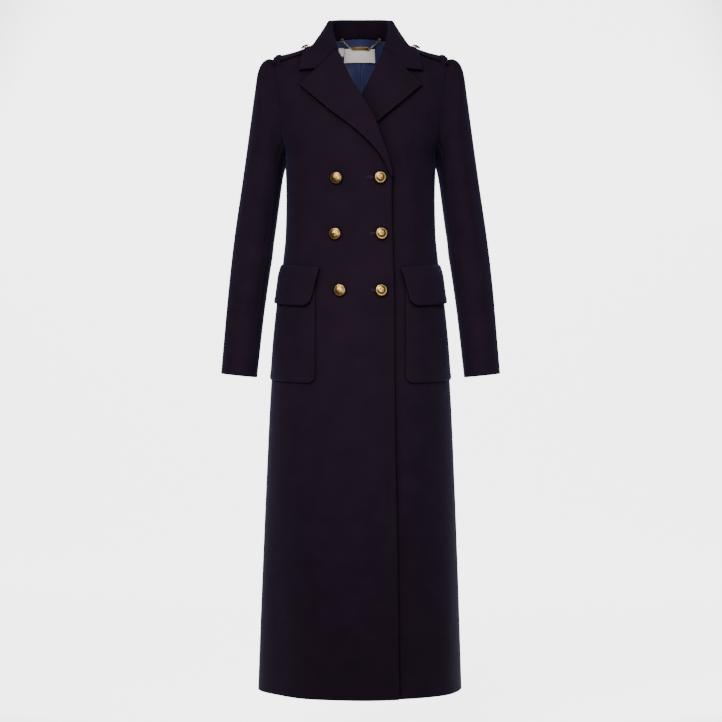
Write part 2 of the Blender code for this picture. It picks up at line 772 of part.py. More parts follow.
def column_angle(columns, across):
    """Angle round the sleeve, kept half a seam's gap inside the first and the last column."""
    gap = math.degrees(SEAM_GAP / 2 / SLEEVE[-1].half_width)
    return mix(columns[0] * COLUMN_ANGLE + gap, columns[1] * COLUMN_ANGLE - gap, across)


def sleeve_piece(columns):
    """Part of a sleeve between two columns: along from the armhole to the cuff seam."""
    cap_share = CAP_ROWS / (CAP_ROWS + ARM_ROWS)

    def shape(across, along):
        angle = column_angle(columns, across)
        if along < cap_share:
            return cap_point(angle, along / cap_share)
        share = (along - cap_share) / (1 - cap_share)
        return sleeve_ring(angle, mix(cap_end(angle), CUFF_SEAM_HEIGHT + SEAM_GAP / 2, share))

    return shape


def cuff_shape(across, along):
    height = mix(CUFF_SEAM_HEIGHT - SEAM_GAP / 2, WRIST, along)
    return sleeve_ring(column_angle(CUFF_COLUMNS, across), height)


def build_sleeves():
    rows = CAP_ROWS + ARM_ROWS
    for side, turned, facing in (("left", lambda shape: shape, 1), ("right", mirrored, -1)):
        top = with_lift(turned(sleeve_piece(TOP_SLEEVE_COLUMNS)), facing)
        under = with_lift(turned(sleeve_piece(UNDER_SLEEVE_COLUMNS)), facing)
        cuff = with_lift(turned(cuff_shape), facing)
        cloth(f"sleeve_{side}_top", top, column_count(TOP_SLEEVE_COLUMNS), rows, -CLOTH, 0.0, wool)
        cloth(f"sleeve_{side}_under", under, column_count(UNDER_SLEEVE_COLUMNS), rows, -CLOTH, 0.0, wool)
        cloth(f"cuff_{side}", cuff, column_count(CUFF_COLUMNS), CUFF_ROWS, -CLOTH, 0.0, wool)


# Pockets and flaps
CORNER_ROWS = 4


def rounded_foot(along, rows, corner, bottom, top):
    """Height of a row, and how far a rounded bottom corner draws the row's ends in."""
    row = along * rows
    if row < CORNER_ROWS:
        turned = math.pi / 2 * row / CORNER_ROWS
        return bottom + corner * (1 - math.cos(turned)), corner * (1 - math.sin(turned))
    share = (row - CORNER_ROWS) / (rows - CORNER_ROWS)
    return mix(bottom + corner, top, share), 0.0


def on_side(sinks):
    """Lays a point on the left front, sunk with it under the lap, or on a front without a sink."""

    def placed(angle, height, lift):
        point = body_point(angle, height)
        sink = lap_sink(point.x, height) if sinks else 0.0
        return on_body(angle, height, lift - sink)

    return placed


POCKET_ROWS, FLAP_ROWS = 10, 10


def pocket_shape(placed):
    def shape(across, along, lift):
        height, drawn = rounded_foot(along, POCKET_ROWS, POCKET_CORNER, POCKET_BOTTOM, POCKET_TOP)
        height += POCKET_RISE * across
        inner = angle_at(POCKET_INNER_X + drawn, height)
        outer = POCKET_OUTER_ANGLE - math.degrees(drawn / half_width(height))
        fullness = POCKET_FULLNESS * math.sin(math.pi * across) * math.sin(math.pi * along)
        return placed(mix(inner, outer, across), height, lift + fullness)

    return shape


def flap_shape(placed):
    def shape(across, along, lift):
        height, drawn = rounded_foot(along, FLAP_ROWS, FLAP_CORNER, FLAP_BOTTOM, FLAP_TOP)
        hang = (FLAP_TOP - height) / (FLAP_TOP - FLAP_BOTTOM)
        height += FLAP_RISE * across
        inner = angle_at(mix(FLAP_INNER_TOP_X, FLAP_INNER_BOTTOM_X, hang) + drawn, height)
        outer = FLAP_OUTER_ANGLE - math.degrees(drawn * FLAP_OUTER_CORNER / half_width(height))
        over_pocket = CLOTH + 2 * LAYER_GAP
        step = over_pocket * ease(hang * (FLAP_TOP - FLAP_BOTTOM) / FLAP_STEP)
        stand_off = step + (FLAP_LIFT - over_pocket) * hang
        return placed(mix(inner, outer, across), height, lift + stand_off)

    return shape


def build_pockets():
    for side, turned, sinks in (("left", lambda shape: shape, True), ("right", mirrored, False)):
        placed = on_side(sinks)
        pocket, flap = turned(pocket_shape(placed)), turned(flap_shape(placed))
        cloth(f"pocket_{side}", pocket, POCKET_COLUMNS, POCKET_ROWS, LAYER_GAP, LAYER_GAP + CLOTH, wool)
        cloth(f"flap_{side}", flap, POCKET_COLUMNS, FLAP_ROWS, FLAP_GAP, FLAP_GAP + DOUBLED_CLOTH, wool)


# Shoulder straps, with a loop and a button each
STRAP_CLOTH = 0.0030
STRAP_COLUMNS, STRAP_ROWS = 6, 8
LOOP_COLUMNS, LOOP_ROWS = 2, 10
strap_top_lift = LAYER_GAP + STRAP_CLOTH
loop_top_lift = LAYER_GAP + LOOP_CLOTH


def strap_width(across):
    share = (across - STRAP_TIP) / (STRAP_SLEEVE_END - STRAP_TIP)
    return mix(STRAP_WIDTH_AT_TIP, STRAP_WIDTH_AT_SLEEVE, share)


def strap_centre(across):
    """Depth of the strap's middle line, which slants a little back towards the sleeve."""
    share = (across - STRAP_TIP) / (STRAP_SLEEVE_END - STRAP_TIP)
    return mix(STRAP_TIP_Y, STRAP_SLEEVE_Y, share)


def strap_shape(across, along, lift):
    """Across the strap's width from back to front, along it from the sleeve to the pointed end."""
    sideways = 2 * across - 1
    x = mix(STRAP_SLEEVE_END, STRAP_TIP + STRAP_POINT * abs(sideways) ** 1.6, along)
    return on_shoulder(x, strap_centre(x) - strap_width(x) / 2 * sideways, lift)


def loop_stops():
    half = strap_width(LOOP_CENTRE_X) / 2
    outer = [half + LOOP_OVERHANG, half + LOOP_OVERHANG * 0.75, half + LOOP_OVERHANG * 0.15]
    inner = [half * 0.66, half * 0.33]
    return [-stop for stop in outer + inner] + [0.0] + [stop for stop in reversed(outer + inner)]


def loop_shape(across, along, lift):
    """A narrow band over the strap, down to the coat on both sides of it."""
    stops = loop_stops()
    place = along * (len(stops) - 1)
    low = min(int(place), len(stops) - 2)
    y = mix(stops[low], stops[low + 1], place - low)
    half = strap_width(LOOP_CENTRE_X) / 2
    raised = ease((half + LOOP_OVERHANG * 0.75 - abs(y)) / (LOOP_OVERHANG * 0.6))
    x = LOOP_CENTRE_X + (across - 0.5) * LOOP_WIDTH
    return on_shoulder(x, strap_centre(x) - y, lift + (STRAP_CLOTH + LAYER_GAP) * raised)


BUTTON_STEPS = 20
ProfilePoint = namedtuple("ProfilePoint", "radius height")
# Shares of the button's radius, from the shank's foot over the flat back and the rim to the dome's top
BUTTON_PROFILE = [
    ProfilePoint(0.000, 0.000),
    ProfilePoint(0.190, 0.000),
    ProfilePoint(0.190, 0.160),
    ProfilePoint(0.920, 0.180),
    ProfilePoint(1.000, 0.250),
    ProfilePoint(0.975, 0.340),
    ProfilePoint(0.800, 0.500),
    ProfilePoint(0.500, 0.610),
    ProfilePoint(0.000, 0.660),
]


def button(name, place, normal, radius):
    """A domed button on a shank, turned round its own axis."""
    points = [(point.radius * radius, 0.0, point.height * radius) for point in BUTTON_PROFILE]
    edges = [(i, i + 1) for i in range(len(points) - 1)]
    mesh = bpy.data.meshes.new(name)
    mesh.from_pydata(points, edges, [])
    made = add_object(name, mesh, brass)
    turn = made.modifiers.new("turn", "SCREW")
    turn.axis = "Z"
    turn.steps = turn.render_steps = BUTTON_STEPS
    turn.use_merge_vertices = True
    turn.merge_threshold = 0.00001
    turn.use_normal_calculate = True
    made.location = place
    made.rotation_mode = "QUATERNION"
    made.rotation_quaternion = normal.to_track_quat("Z", "Y")


def build_straps():
    for side, sign, turned in (("left", 1, lambda shape: shape), ("right", -1, mirrored)):
        strap, loop = turned(strap_shape), turned(loop_shape)
        cloth(f"epaulette_{side}", strap, STRAP_COLUMNS, STRAP_ROWS, LAYER_GAP, strap_top_lift, wool)
        cloth(f"loop_{side}", loop, LOOP_COLUMNS, LOOP_ROWS, LAYER_GAP, loop_top_lift, wool)
        foot = on_shoulder(STRAP_BUTTON_X, strap_centre(STRAP_BUTTON_X), strap_top_lift + LAYER_GAP)
        normal = foot - on_shoulder(STRAP_BUTTON_X, strap_centre(STRAP_BUTTON_X), 0.0)
        place = Vector((sign * foot.x, foot.y, foot.z))
        normal = Vector((sign * normal.x, normal.y, normal.z))
        button(f"button_strap_{side}", place, normal, STRAP_BUTTON_RADIUS)


def build_buttons():
    for item in FRONT_BUTTONS:
        angle = angle_at(item.across, item.height)
        foot = on_body(angle, item.height, LAYER_GAP)
        button(item.name, foot, body_normal(angle, item.height), BUTTON_RADIUS)


# Inside the back neck: lining, labels and hanger chain
lining_outer = -(CLOTH + LAYER_GAP)
lining_inner = lining_outer - LINING_CLOTH
label_outer = lining_inner - HANGING_GAP
RING_LIFT = lining_inner - RING_STAND_OFF
PLATE_LIFT = label_outer - LABEL_CLOTH - HANGING_GAP
CHAIN_KNOTS = 8


def on_back(across, height, lift):
    """A point on the back, at a distance from the centre."""
    return on_body(180 - angle_at(across, height), height, lift)


def lining_shape(across, along, lift):
    """The upper back's own shape, a column in from its seams."""
    shape = with_lift(whole_back, 1)
    margin = 1 / BACK_COLUMNS
    row = mix(ARMPIT_ROW, LINING_TOP_ROW, along)
    return shape(mix(margin, 1 - margin, across), row / LAST_ROW, lift)


def patch(left, right, bottom, top):
    def shape(across, along, lift):
        return on_back(mix(left, right, across), mix(bottom, top, along), lift)

    return shape


def bar(name, points, radius):
    """A round bar through the points."""
    curve = bpy.data.curves.new(name, "CURVE")
    curve.dimensions = "3D"
    curve.bevel_depth = radius
    curve.bevel_resolution = 2
    curve.use_fill_caps = True
    spline = curve.splines.new("POLY")
    spline.points.add(len(points) - 1)
    for knot, point in zip(spline.points, points):
        knot.co = (*point, 1.0)
    add_object(name, curve, brass)


def ring(name, place, normal):
    bpy.ops.mesh.primitive_torus_add(
        major_segments=16,
        minor_segments=6,
        major_radius=RING_RADIUS,
        minor_radius=RING_WIRE,
        location=place,
        rotation=normal.to_track_quat("Z", "Y").to_euler(),
    )
    made = bpy.context.object
    made.name = name
    made.data.shade_smooth()
    made.data.materials.append(brass)
    for holder in list(made.users_collection):
        holder.objects.unlink(made)
    coat.objects.link(made)


def chain_point(share):
    """From beside the ring down to the plate's end, hanging in a slight curve."""
    ring_place, plate_end = Vector((RING_X, RING_HEIGHT)), Vector((PLATE_HALF_LENGTH, PLATE_CENTRE_HEIGHT))
    towards = (plate_end - ring_place).normalized()
    start = ring_place + towards * (RING_RADIUS + RING_WIRE + SEAM_GAP)
    end = plate_end + Vector((SEAM_GAP + CHAIN_WIRE * abs(towards.y), 0.0))
    place = start.lerp(end, share) - Vector((0.0, CHAIN_SAG * 4 * share * (1 - share)))
    return on_back(place.x, place.y, mix(RING_LIFT, PLATE_LIFT, share))


def build_inside():
    rows = LINING_TOP_ROW - ARMPIT_ROW
    cloth("lining_back", lining_shape, BACK_COLUMNS - 2, rows, lining_inner, lining_outer, satin)
    label = patch(LABEL_LEFT, LABEL_RIGHT, LABEL_BOTTOM, LABEL_TOP)
    cloth("neck_label", label, 6, 2, label_outer - LABEL_CLOTH, label_outer, woven)
    size_label = patch(SIZE_LABEL_LEFT, SIZE_LABEL_RIGHT, SIZE_LABEL_BOTTOM, SIZE_LABEL_TOP)
    cloth("size_label", size_label, 2, 2, label_outer - LABEL_CLOTH, label_outer, woven)
    foot = PLATE_CENTRE_HEIGHT - PLATE_HEIGHT / 2
    plate = patch(-PLATE_HALF_LENGTH, PLATE_HALF_LENGTH, foot, foot + PLATE_HEIGHT)
    half = PLATE_THICKNESS / 2
    cloth("hanger_plate", plate, 4, 1, PLATE_LIFT - half, PLATE_LIFT + half, brass)
    place = on_back(RING_X, RING_HEIGHT, RING_LIFT)
    normal = body_normal(180 - angle_at(RING_X, RING_HEIGHT), RING_HEIGHT)
    links = [chain_point(i / (CHAIN_KNOTS - 1)) for i in range(CHAIN_KNOTS)]
    for side, sign in (("left", 1), ("right", -1)):
        flip = Vector((sign, 1, 1))
        ring(f"hanger_ring_{side}", place * flip, normal * flip)
        bar(f"hanger_chain_{side}", [link * flip for link in links], CHAIN_WIRE)


reset_scene()
coat = bpy.data.collections.new("maxi_coat")
bpy.context.scene.collection.children.link(coat)
wool = make_material(*WOOL)
satin = make_material(*SATIN)
brass = make_material(*BRASS)
woven = make_material(*LABEL)
build_body()
build_lapels()
build_collar()
build_sleeves()
build_pockets()
build_straps()
build_buttons()
build_inside()
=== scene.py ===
# %% [markdown]
# # A double-breasted maxi coat of dark felted wool
# The coat's solids are already packed as a frame: thirty-six sewn pieces, buttons and hanger fittings,
# in metres, with the front towards -Y and the origin between the two shoulder necks. This lesson dresses
# them. Each cloth piece is drawn again from the same sizes, only finer, so that its roll, its seams and
# its soft folds show; then it gets wool, satin or brass as its finish.

import math
from bisect import bisect_right
from collections import namedtuple

import bmesh
import bpy
import numpy as np
from mathutils import Matrix, Vector


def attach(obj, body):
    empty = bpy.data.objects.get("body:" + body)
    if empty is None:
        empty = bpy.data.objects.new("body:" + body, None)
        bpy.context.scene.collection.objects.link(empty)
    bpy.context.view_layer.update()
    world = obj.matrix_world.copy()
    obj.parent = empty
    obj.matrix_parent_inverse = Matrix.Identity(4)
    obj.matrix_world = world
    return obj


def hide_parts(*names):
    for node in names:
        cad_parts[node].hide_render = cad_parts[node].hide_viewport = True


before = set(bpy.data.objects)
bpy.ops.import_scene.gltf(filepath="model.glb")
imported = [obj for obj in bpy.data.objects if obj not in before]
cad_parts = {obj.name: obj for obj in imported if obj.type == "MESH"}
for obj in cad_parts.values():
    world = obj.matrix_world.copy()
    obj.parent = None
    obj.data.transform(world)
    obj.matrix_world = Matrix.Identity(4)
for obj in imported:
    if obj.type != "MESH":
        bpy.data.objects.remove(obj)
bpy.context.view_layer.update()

# %% [markdown]
# ## The camera
# The photograph was taken from far away and level, at the coat's half height, so the hem and the collar
# are seen almost without tilt. One pixel is two millimetres at the coat's middle; a lens that sees that
# width from four metres away gives the same gentle perspective.

# %% Camera
FRAME_WIDTH = 1.444
CAMERA_DISTANCE = 4.0
CAMERA_X, CAMERA_HEIGHT = 0.0008, -0.646
SENSOR_MM = 36.0

camera_data = bpy.data.cameras.new("studio_camera")
camera_data.sensor_width = SENSOR_MM
camera_data.lens = SENSOR_MM * CAMERA_DISTANCE / FRAME_WIDTH
camera = bpy.data.objects.new("studio_camera", camera_data)
camera.location = (CAMERA_X, -CAMERA_DISTANCE, CAMERA_HEIGHT)
camera.rotation_euler = (math.pi / 2, 0, 0)
bpy.context.scene.collection.objects.link(camera)
bpy.context.scene.camera = camera
print("lens", round(camera_data.lens, 1), "mm")

# %% [markdown]
# ## Shader sums as Python
# Felt, satin and brass all need a little arithmetic on noise. Wiring Math nodes by hand hides what is
# meant, so one small class stands for a socket: plus, minus and times on it add the Math node, and its
# `node` method adds any other node. Uniform values go straight onto the shader instead.


# %% The socket class
class Value:
    """A socket of a material's node tree that can be used in Python sums."""

    def __init__(self, tree, socket=None):
        self.tree = tree
        self.socket = socket

    def node(self, kind, settings=None, inputs=None, out=0):
        """Adds a node: its settings first, then the values or links of its sockets."""
        made = self.tree.nodes.new(kind)
        for key, value in (settings or {}).items():
            setattr(made, key, value)
        for key, value in (inputs or {}).items():
            if isinstance(value, Value):
                self.tree.links.new(value.socket, made.inputs[key])
            else:
                made.inputs[key].default_value = value
        return Value(self.tree, made.outputs[out])

    def sum(self, operation, first, second):
        return self.node("ShaderNodeMath", {"operation": operation}, {0: first, 1: second})

    def __add__(self, other):
        return self.sum("ADD", self, other)

    def __sub__(self, other):
        return self.sum("SUBTRACT", self, other)

    def __mul__(self, other):
        return self.sum("MULTIPLY", self, other)

    def __rsub__(self, other):
        return self.sum("SUBTRACT", other, self)

    __radd__ = __add__
    __rmul__ = __mul__


def new_material(name):
    """A material with a plain Principled shader, the shader itself, and a Value to start sums from."""
    material = bpy.data.materials.new(name)
    material.use_nodes = True
    shader = material.node_tree.nodes["Principled BSDF"]
    return material, shader, Value(material.node_tree)


def wire(shader, name, value):
    """Feeds a varying value into one of the shader's sockets."""
    value.tree.links.new(value.socket, shader.inputs[name])


def set_sockets(shader, values):
    for name, value in values.items():
        shader.inputs[name].default_value = value


def noise(start, vector, scale, detail=2.0, roughness=0.5):
    sockets = {"Vector": vector, "Scale": scale, "Detail": detail, "Roughness": roughness}
    return start.node("ShaderNodeTexNoise", None, sockets)


def stretched(start, vector, scale):
    """The same coordinates, stretched or squeezed along each axis."""
    return start.node("ShaderNodeMapping", None, {"Vector": vector, "Scale": scale})


def blend_colours(start, factor, first, second):
    sockets = {"Factor": factor, 6: (*first, 1.0), 7: (*second, 1.0)}
    return start.node("ShaderNodeMix", {"data_type": "RGBA"}, sockets, out=2)


def bump(start, height, strength, distance):
    sockets = {"Height": height, "Strength": strength, "Distance": distance}
    return start.node("ShaderNodeBump", None, sockets, out="Normal")


print("shader sums ready")

# %% [markdown]
# ## The studio
# The photograph has an even, pale ground with no horizon, so the floor runs back and sweeps up into the
# wall in one sheet. Only the patch behind the coat glows, as backlit paper does: a room that is bright
# all round would wash out cloth as dark as this. The floor lies a hand's width under the hem, because the
# coat is held up at its shoulders.

# %% Floor and backdrop
FLOOR_HEIGHT = -1.44
SWEEP_START, SWEEP_RADIUS, SWEEP_TOP, SWEEP_STEPS = 3.4, 1.8, 4.5, 90
STAGE_HALF_WIDTH, STAGE_FRONT = 6.0, -6.0
STAGE_COLOUR, STAGE_GLOW = (0.62, 0.62, 0.622), 4.0
GLOW_CENTRE, GLOW_FULL, GLOW_END = (0.0, 3.3, -0.6), 3.1, 3.8
GLOW_NARROWING = 1.35


def place_in_scene(name, data, material):
    """An object of a mesh or a curve, in one finish."""
    data.materials.append(material)
    made = bpy.data.objects.new(name, data)
    bpy.context.scene.collection.objects.link(made)
    return made


def smooth_object(name, bm, material):
    """An object of what a bmesh holds, shaded smooth."""
    mesh = bpy.data.meshes.new(name)
    bm.to_mesh(mesh)
    bm.free()
    mesh.shade_smooth()
    return place_in_scene(name, mesh, material)


def sweep_place(share):
    """Depth and height of the stage's side profile: floor, quarter turn, wall."""
    lengths = (SWEEP_START - STAGE_FRONT, SWEEP_RADIUS * math.pi / 2, SWEEP_TOP)
    run = share * sum(lengths)
    if run < lengths[0]:
        return STAGE_FRONT + run, FLOOR_HEIGHT
    turned = min((run - lengths[0]) / SWEEP_RADIUS, math.pi / 2)
    depth = SWEEP_START + SWEEP_RADIUS * math.sin(turned)
    height = FLOOR_HEIGHT + SWEEP_RADIUS * (1 - math.cos(turned))
    return depth, height + max(run - lengths[0] - lengths[1], 0.0)


paper, paper_shader, start = new_material("pale_paper")
set_sockets(paper_shader, {"Base Color": (*STAGE_COLOUR, 1), "Roughness": 0.9, "Specular IOR Level": 0.1})
set_sockets(paper_shader, {"Emission Strength": STAGE_GLOW})
place = start.node("ShaderNodeTexCoord", out="Object")
narrowed = stretched(start, place, (GLOW_NARROWING, 1.0, 1.0))
ends = {0: narrowed, 1: GLOW_CENTRE}
reach = start.node("ShaderNodeVectorMath", {"operation": "DISTANCE"}, ends, out="Value")
fade = start.node("ShaderNodeMapRange", None, {"Value": reach, 1: GLOW_FULL, 2: GLOW_END, 3: 1.0, 4: 0.0})
wire(paper_shader, "Emission Color", blend_colours(start, fade, (0, 0, 0), (1, 1, 1)))
bm = bmesh.new()
bmesh.ops.create_grid(bm, x_segments=1, y_segments=SWEEP_STEPS, size=0.5)
for vert in bm.verts:
    vert.co = (vert.co.x * 2 * STAGE_HALF_WIDTH, *sweep_place(vert.co.y + 0.5))
stage = smooth_object("studio_sweep", bm, paper)
print("stage reaches from", STAGE_FRONT, "to", SWEEP_START + SWEEP_RADIUS, "m deep")

# %% [markdown]
# The main light is soft and stands up on the left, so lapels and flaps throw their shadows down and to
# the right, and the hem falls off into the dark. A weaker one stands level on the right and keeps those
# shadows from going black. Two tall lights behind the coat graze the nap along the silhouette, which is
# where dark wool shows its bluish bloom.

# %% Lights
StudioLight = namedtuple("StudioLight", "name place target width height spread watts colour")
LIGHTS = [
    StudioLight("key", (-0.72, -2.4, 1.25), (0.02, 0.0, -0.62), 1.3, 1.3, 39, 12.5, (1.0, 0.985, 0.97)),
    StudioLight("fill", (1.0, -3.0, -0.42), (0.02, 0.0, -0.48), 1.4, 1.4, 40, 6.6, (0.97, 0.98, 1.0)),
    StudioLight("rim_left", (-1.9, 0.9, -0.2), (0.0, 0.0, -0.45), 0.6, 1.8, 100, 2.4, (0.86, 0.89, 1.0)),
    StudioLight("rim_right", (1.9, 0.9, -0.2), (0.0, 0.0, -0.45), 0.6, 1.8, 100, 1.2, (0.86, 0.89, 1.0)),
]
WORLD_COLOUR, WORLD_STRENGTH = (0.90, 0.91, 0.93), 0.08

for item in LIGHTS:
    data = bpy.data.lights.new(item.name, "AREA")
    data.shape = "RECTANGLE"
    data.size, data.size_y = item.width, item.height
    data.spread = math.radians(item.spread)
    data.energy = item.watts
    data.color = item.colour
    light = bpy.data.objects.new(item.name, data)
    light.location = item.place
    aim = Vector(item.target) - Vector(item.place)
    light.rotation_euler = aim.to_track_quat("-Z", "Y").to_euler()
    bpy.context.scene.collection.objects.link(light)
world = bpy.data.worlds.new("studio_air")
world.use_nodes = True
background = world.node_tree.nodes["Background"]
background.inputs["Color"].default_value = (*WORLD_COLOUR, 1)
background.inputs["Strength"].default_value = WORLD_STRENGTH
bpy.context.scene.world = world
print(len(LIGHTS), "lights")

# %% [markdown]
# ## Felted wool
# Melton is a twill that has been shrunk and felted until the weave almost disappears under a short,
# brushed nap. Three scales make it: clouds a few centimetres wide where the nap lies differently, the
# nap's own fibres drawn out along the cloth's length, and a trace of the twill's diagonal. Coordinates
# come from each piece's flat cut in metres, so the grain follows the cloth round the body. Shade is
# painted into the colour in narrow recesses, under a flap or along a seam: an Ambient Occlusion node,
# which tells how shut in a point is, darkens the base colour there.

# %% Wool
WOOL_DARK, WOOL_LIGHT = (0.0018, 0.0007, 0.0022), (0.0124, 0.0060, 0.0138)
PAINTED_SHADE_REACH, PAINTED_SHADE_DEPTH = 0.030, 0.2
WOOL_SHEEN_TINT = (0.46, 0.38, 0.92)
TWILL_SPACING = 0.0012
WAVE_PERIOD = math.pi / 10


def wool_finish(name):
    material, shader, start = new_material(name)
    cut = start.node("ShaderNodeUVMap")
    place = start.node("ShaderNodeTexCoord", out="Object")
    clouds = noise(start, place, 26.0, 3.0)
    fibres = noise(start, stretched(start, cut, (1.0, 0.4, 1.0)), 1300.0, 3.0, 0.6)
    twill = start.node(
        "ShaderNodeTexWave",
        {"bands_direction": "DIAGONAL"},
        {"Vector": cut, "Scale": WAVE_PERIOD / TWILL_SPACING, "Distortion": 1.5, "Detail": 1.0},
        out="Fac",
    )
    nap = fibres * 0.5 + clouds * 0.4 + twill * 0.1
    # Painted shade: the Ambient Occlusion factor darkens the wool's base colour in recesses, under flaps and
    # along seams, on top of the nap's own variation.
    painted_shade = start.node("ShaderNodeAmbientOcclusion", {"samples": 8}, {"Distance": PAINTED_SHADE_REACH}, out="AO")
    shown = nap * painted_shade * painted_shade - PAINTED_SHADE_DEPTH * (1 - painted_shade)
    wire(shader, "Base Color", blend_colours(start, shown, WOOL_DARK, WOOL_LIGHT))
    wire(shader, "Roughness", 0.82 + fibres * 0.16)
    wire(shader, "Normal", bump(start, fibres * 0.7 + twill * 0.3, 0.35, 0.0007))
    set_sockets(
        shader,
        {
            "Specular IOR Level": 0.05,
            "Sheen Weight": 0.05,
            "Sheen Roughness": 0.45,
            "Sheen Tint": (*WOOL_SHEEN_TINT, 1),
        },
    )
    return material


wool = wool_finish("felted_wool")
print("wool:", len(wool.node_tree.nodes), "nodes")

# %% [markdown]
# ## Satin, label, thread and brass
# The lining shows only inside the back neck: a blue satin whose floats run down the cloth. The label is a
# bare woven tape with fine cross ribs. Thread is a little paler than the wool, so the buttonholes show.
# The brass is half polished, with tarnish left wherever the die pressed it in.

# %% Satin
SATIN_DARK, SATIN_LIGHT = (0.0105, 0.0125, 0.048), (0.0230, 0.0270, 0.086)


def satin_finish(name):
    material, shader, start = new_material(name)
    cut = start.node("ShaderNodeUVMap")
    floats = noise(start, stretched(start, cut, (1.0, 0.06, 1.0)), 2600.0, 2.0)
    clouds = noise(start, cut, 40.0, 2.0)
    wire(shader, "Base Color", blend_colours(start, floats * 0.5 + clouds * 0.5, SATIN_DARK, SATIN_LIGHT))
    wire(shader, "Roughness", 0.34 + floats * 0.18)
    wire(shader, "Normal", bump(start, floats, 0.15, 0.0003))
    set_sockets(shader, {"Anisotropic": 0.45, "Sheen Weight": 0.08, "Specular IOR Level": 0.30})
    return material


satin = satin_finish("blue_satin")
print("satin:", len(satin.node_tree.nodes), "nodes")

# %% Label, thread
LABEL_DARK, LABEL_LIGHT = (0.48, 0.43, 0.415), (0.74, 0.675, 0.655)
LABEL_RIB = 0.0007
THREAD_DARK, THREAD_LIGHT = (0.008, 0.005, 0.010), (0.020, 0.014, 0.026)
LABEL_THREAD_DARK, LABEL_THREAD_LIGHT = (0.22, 0.20, 0.19), (0.42, 0.39, 0.37)


def label_finish(name):
    material, shader, start = new_material(name)
    cut = start.node("ShaderNodeUVMap")
    ribs = start.node(
        "ShaderNodeTexWave",
        {"bands_direction": "Y"},
        {"Vector": cut, "Scale": WAVE_PERIOD / LABEL_RIB, "Distortion": 0.6},
        out="Fac",
    )
    yarn = noise(start, stretched(start, cut, (0.2, 1.0, 1.0)), 1500.0, 2.0)
    wire(shader, "Base Color", blend_colours(start, ribs * 0.3 + yarn * 0.7, LABEL_DARK, LABEL_LIGHT))
    wire(shader, "Roughness", 0.55 + yarn * 0.25)
    wire(shader, "Normal", bump(start, ribs * 0.6 + yarn * 0.4, 0.3, 0.0003))
    set_sockets(shader, {"Sheen Weight": 0.1, "Specular IOR Level": 0.3})
    return material


def thread_finish(name, dark, light):
    material, shader, start = new_material(name)
    place = start.node("ShaderNodeTexCoord", out="Object")
    strands = noise(start, place, 3000.0, 2.0)
    wire(shader, "Base Color", blend_colours(start, strands, dark, light))
    wire(shader, "Roughness", 0.5 + strands * 0.3)
    wire(shader, "Normal", bump(start, strands, 0.3, 0.0002))
    set_sockets(shader, {"Sheen Weight": 0.04, "Specular IOR Level": 0.12})
    return material


woven = label_finish("bare_label")
coat_thread = thread_finish("coat_thread", THREAD_DARK, THREAD_LIGHT)
label_thread = thread_finish("label_thread", LABEL_THREAD_DARK, LABEL_THREAD_LIGHT)
print("label:", len(woven.node_tree.nodes), "nodes, thread:", len(coat_thread.node_tree.nodes))

# %% Brass
BRASS_BRIGHT, BRASS_TARNISH = (0.38, 0.24, 0.078), (0.060, 0.032, 0.009)
PLATE_BRIGHT, PLATE_TARNISH = (0.42, 0.25, 0.08), (0.13, 0.07, 0.02)
CHAIN_BRIGHT, CHAIN_TARNISH = (0.80, 0.66, 0.42), (0.34, 0.25, 0.13)
RELIEF, RELIEF_LEVEL = "relief", 0.35


def brass_finish(name, bright, tarnish, relief):
    """Bright where the die stands proud, tarnished where it is sunk, as a layer of the mesh says."""
    material, shader, start = new_material(name)
    place = start.node("ShaderNodeTexCoord", out="Object")
    grain = noise(start, place, 900.0, 3.0)
    spots = noise(start, place, 260.0, 2.0)
    polish = grain * 0.3 + spots * 0.5
    if relief:
        proud = start.node("ShaderNodeAttribute", {"attribute_name": relief}, None, out="Fac")
        polish = polish + proud - RELIEF_LEVEL
    shown = start.node("ShaderNodeClamp", None, {"Value": polish})
    wire(shader, "Base Color", blend_colours(start, shown, tarnish, bright))
    wire(shader, "Roughness", 0.42 - shown * 0.14)
    wire(shader, "Normal", bump(start, grain, 0.08, 0.0002))
    set_sockets(shader, {"Metallic": 1.0})
    return material


button_brass = brass_finish("button_brass", BRASS_BRIGHT, BRASS_TARNISH, RELIEF)
chain_brass = brass_finish("chain_brass", CHAIN_BRIGHT, CHAIN_TARNISH, None)
plate_brass = brass_finish("plate_brass", PLATE_BRIGHT, PLATE_TARNISH, None)
print("finishes:", len(bpy.data.materials))

# %% [markdown]
# ## The coat's sizes
# These are the sizes the solids were made from, in metres: level sections of the body from hem to
# shoulder, the shoulder line, the armhole, the front edge and the lapel's edge. A smooth curve through
# each column of a table gives the value at any height. A few stand-offs, of the lapels' edges, the collar,
# the flaps and the front under the lap, differ from the solids by a few millimetres, so that their shadows
# are as wide as in the photograph.

# %% Cloth and body sizes
CLOTH, DOUBLED_CLOTH, LINING_CLOTH, LABEL_CLOTH = 0.0022, 0.0028, 0.0010, 0.0010
SEAM_GAP, LAYER_GAP, HANGING_GAP = 0.0003, 0.0005, 0.0020
SEAM_LAP = 0.0003
HEM_HEIGHT, WAIST_HEIGHT, ARMPIT_HEIGHT = -1.298, -0.394, -0.250
SHOULDER_TIP_X, NECK_SIDE_X = 0.177, 0.072
BACK_NECK_RISE, SHOULDER_ROUND = 0.015, 0.110
SIDE_SEAM_ANGLE = 97.0
SHOULDER_ROUNDS, HEIGHT_ROUNDS = 4, 6

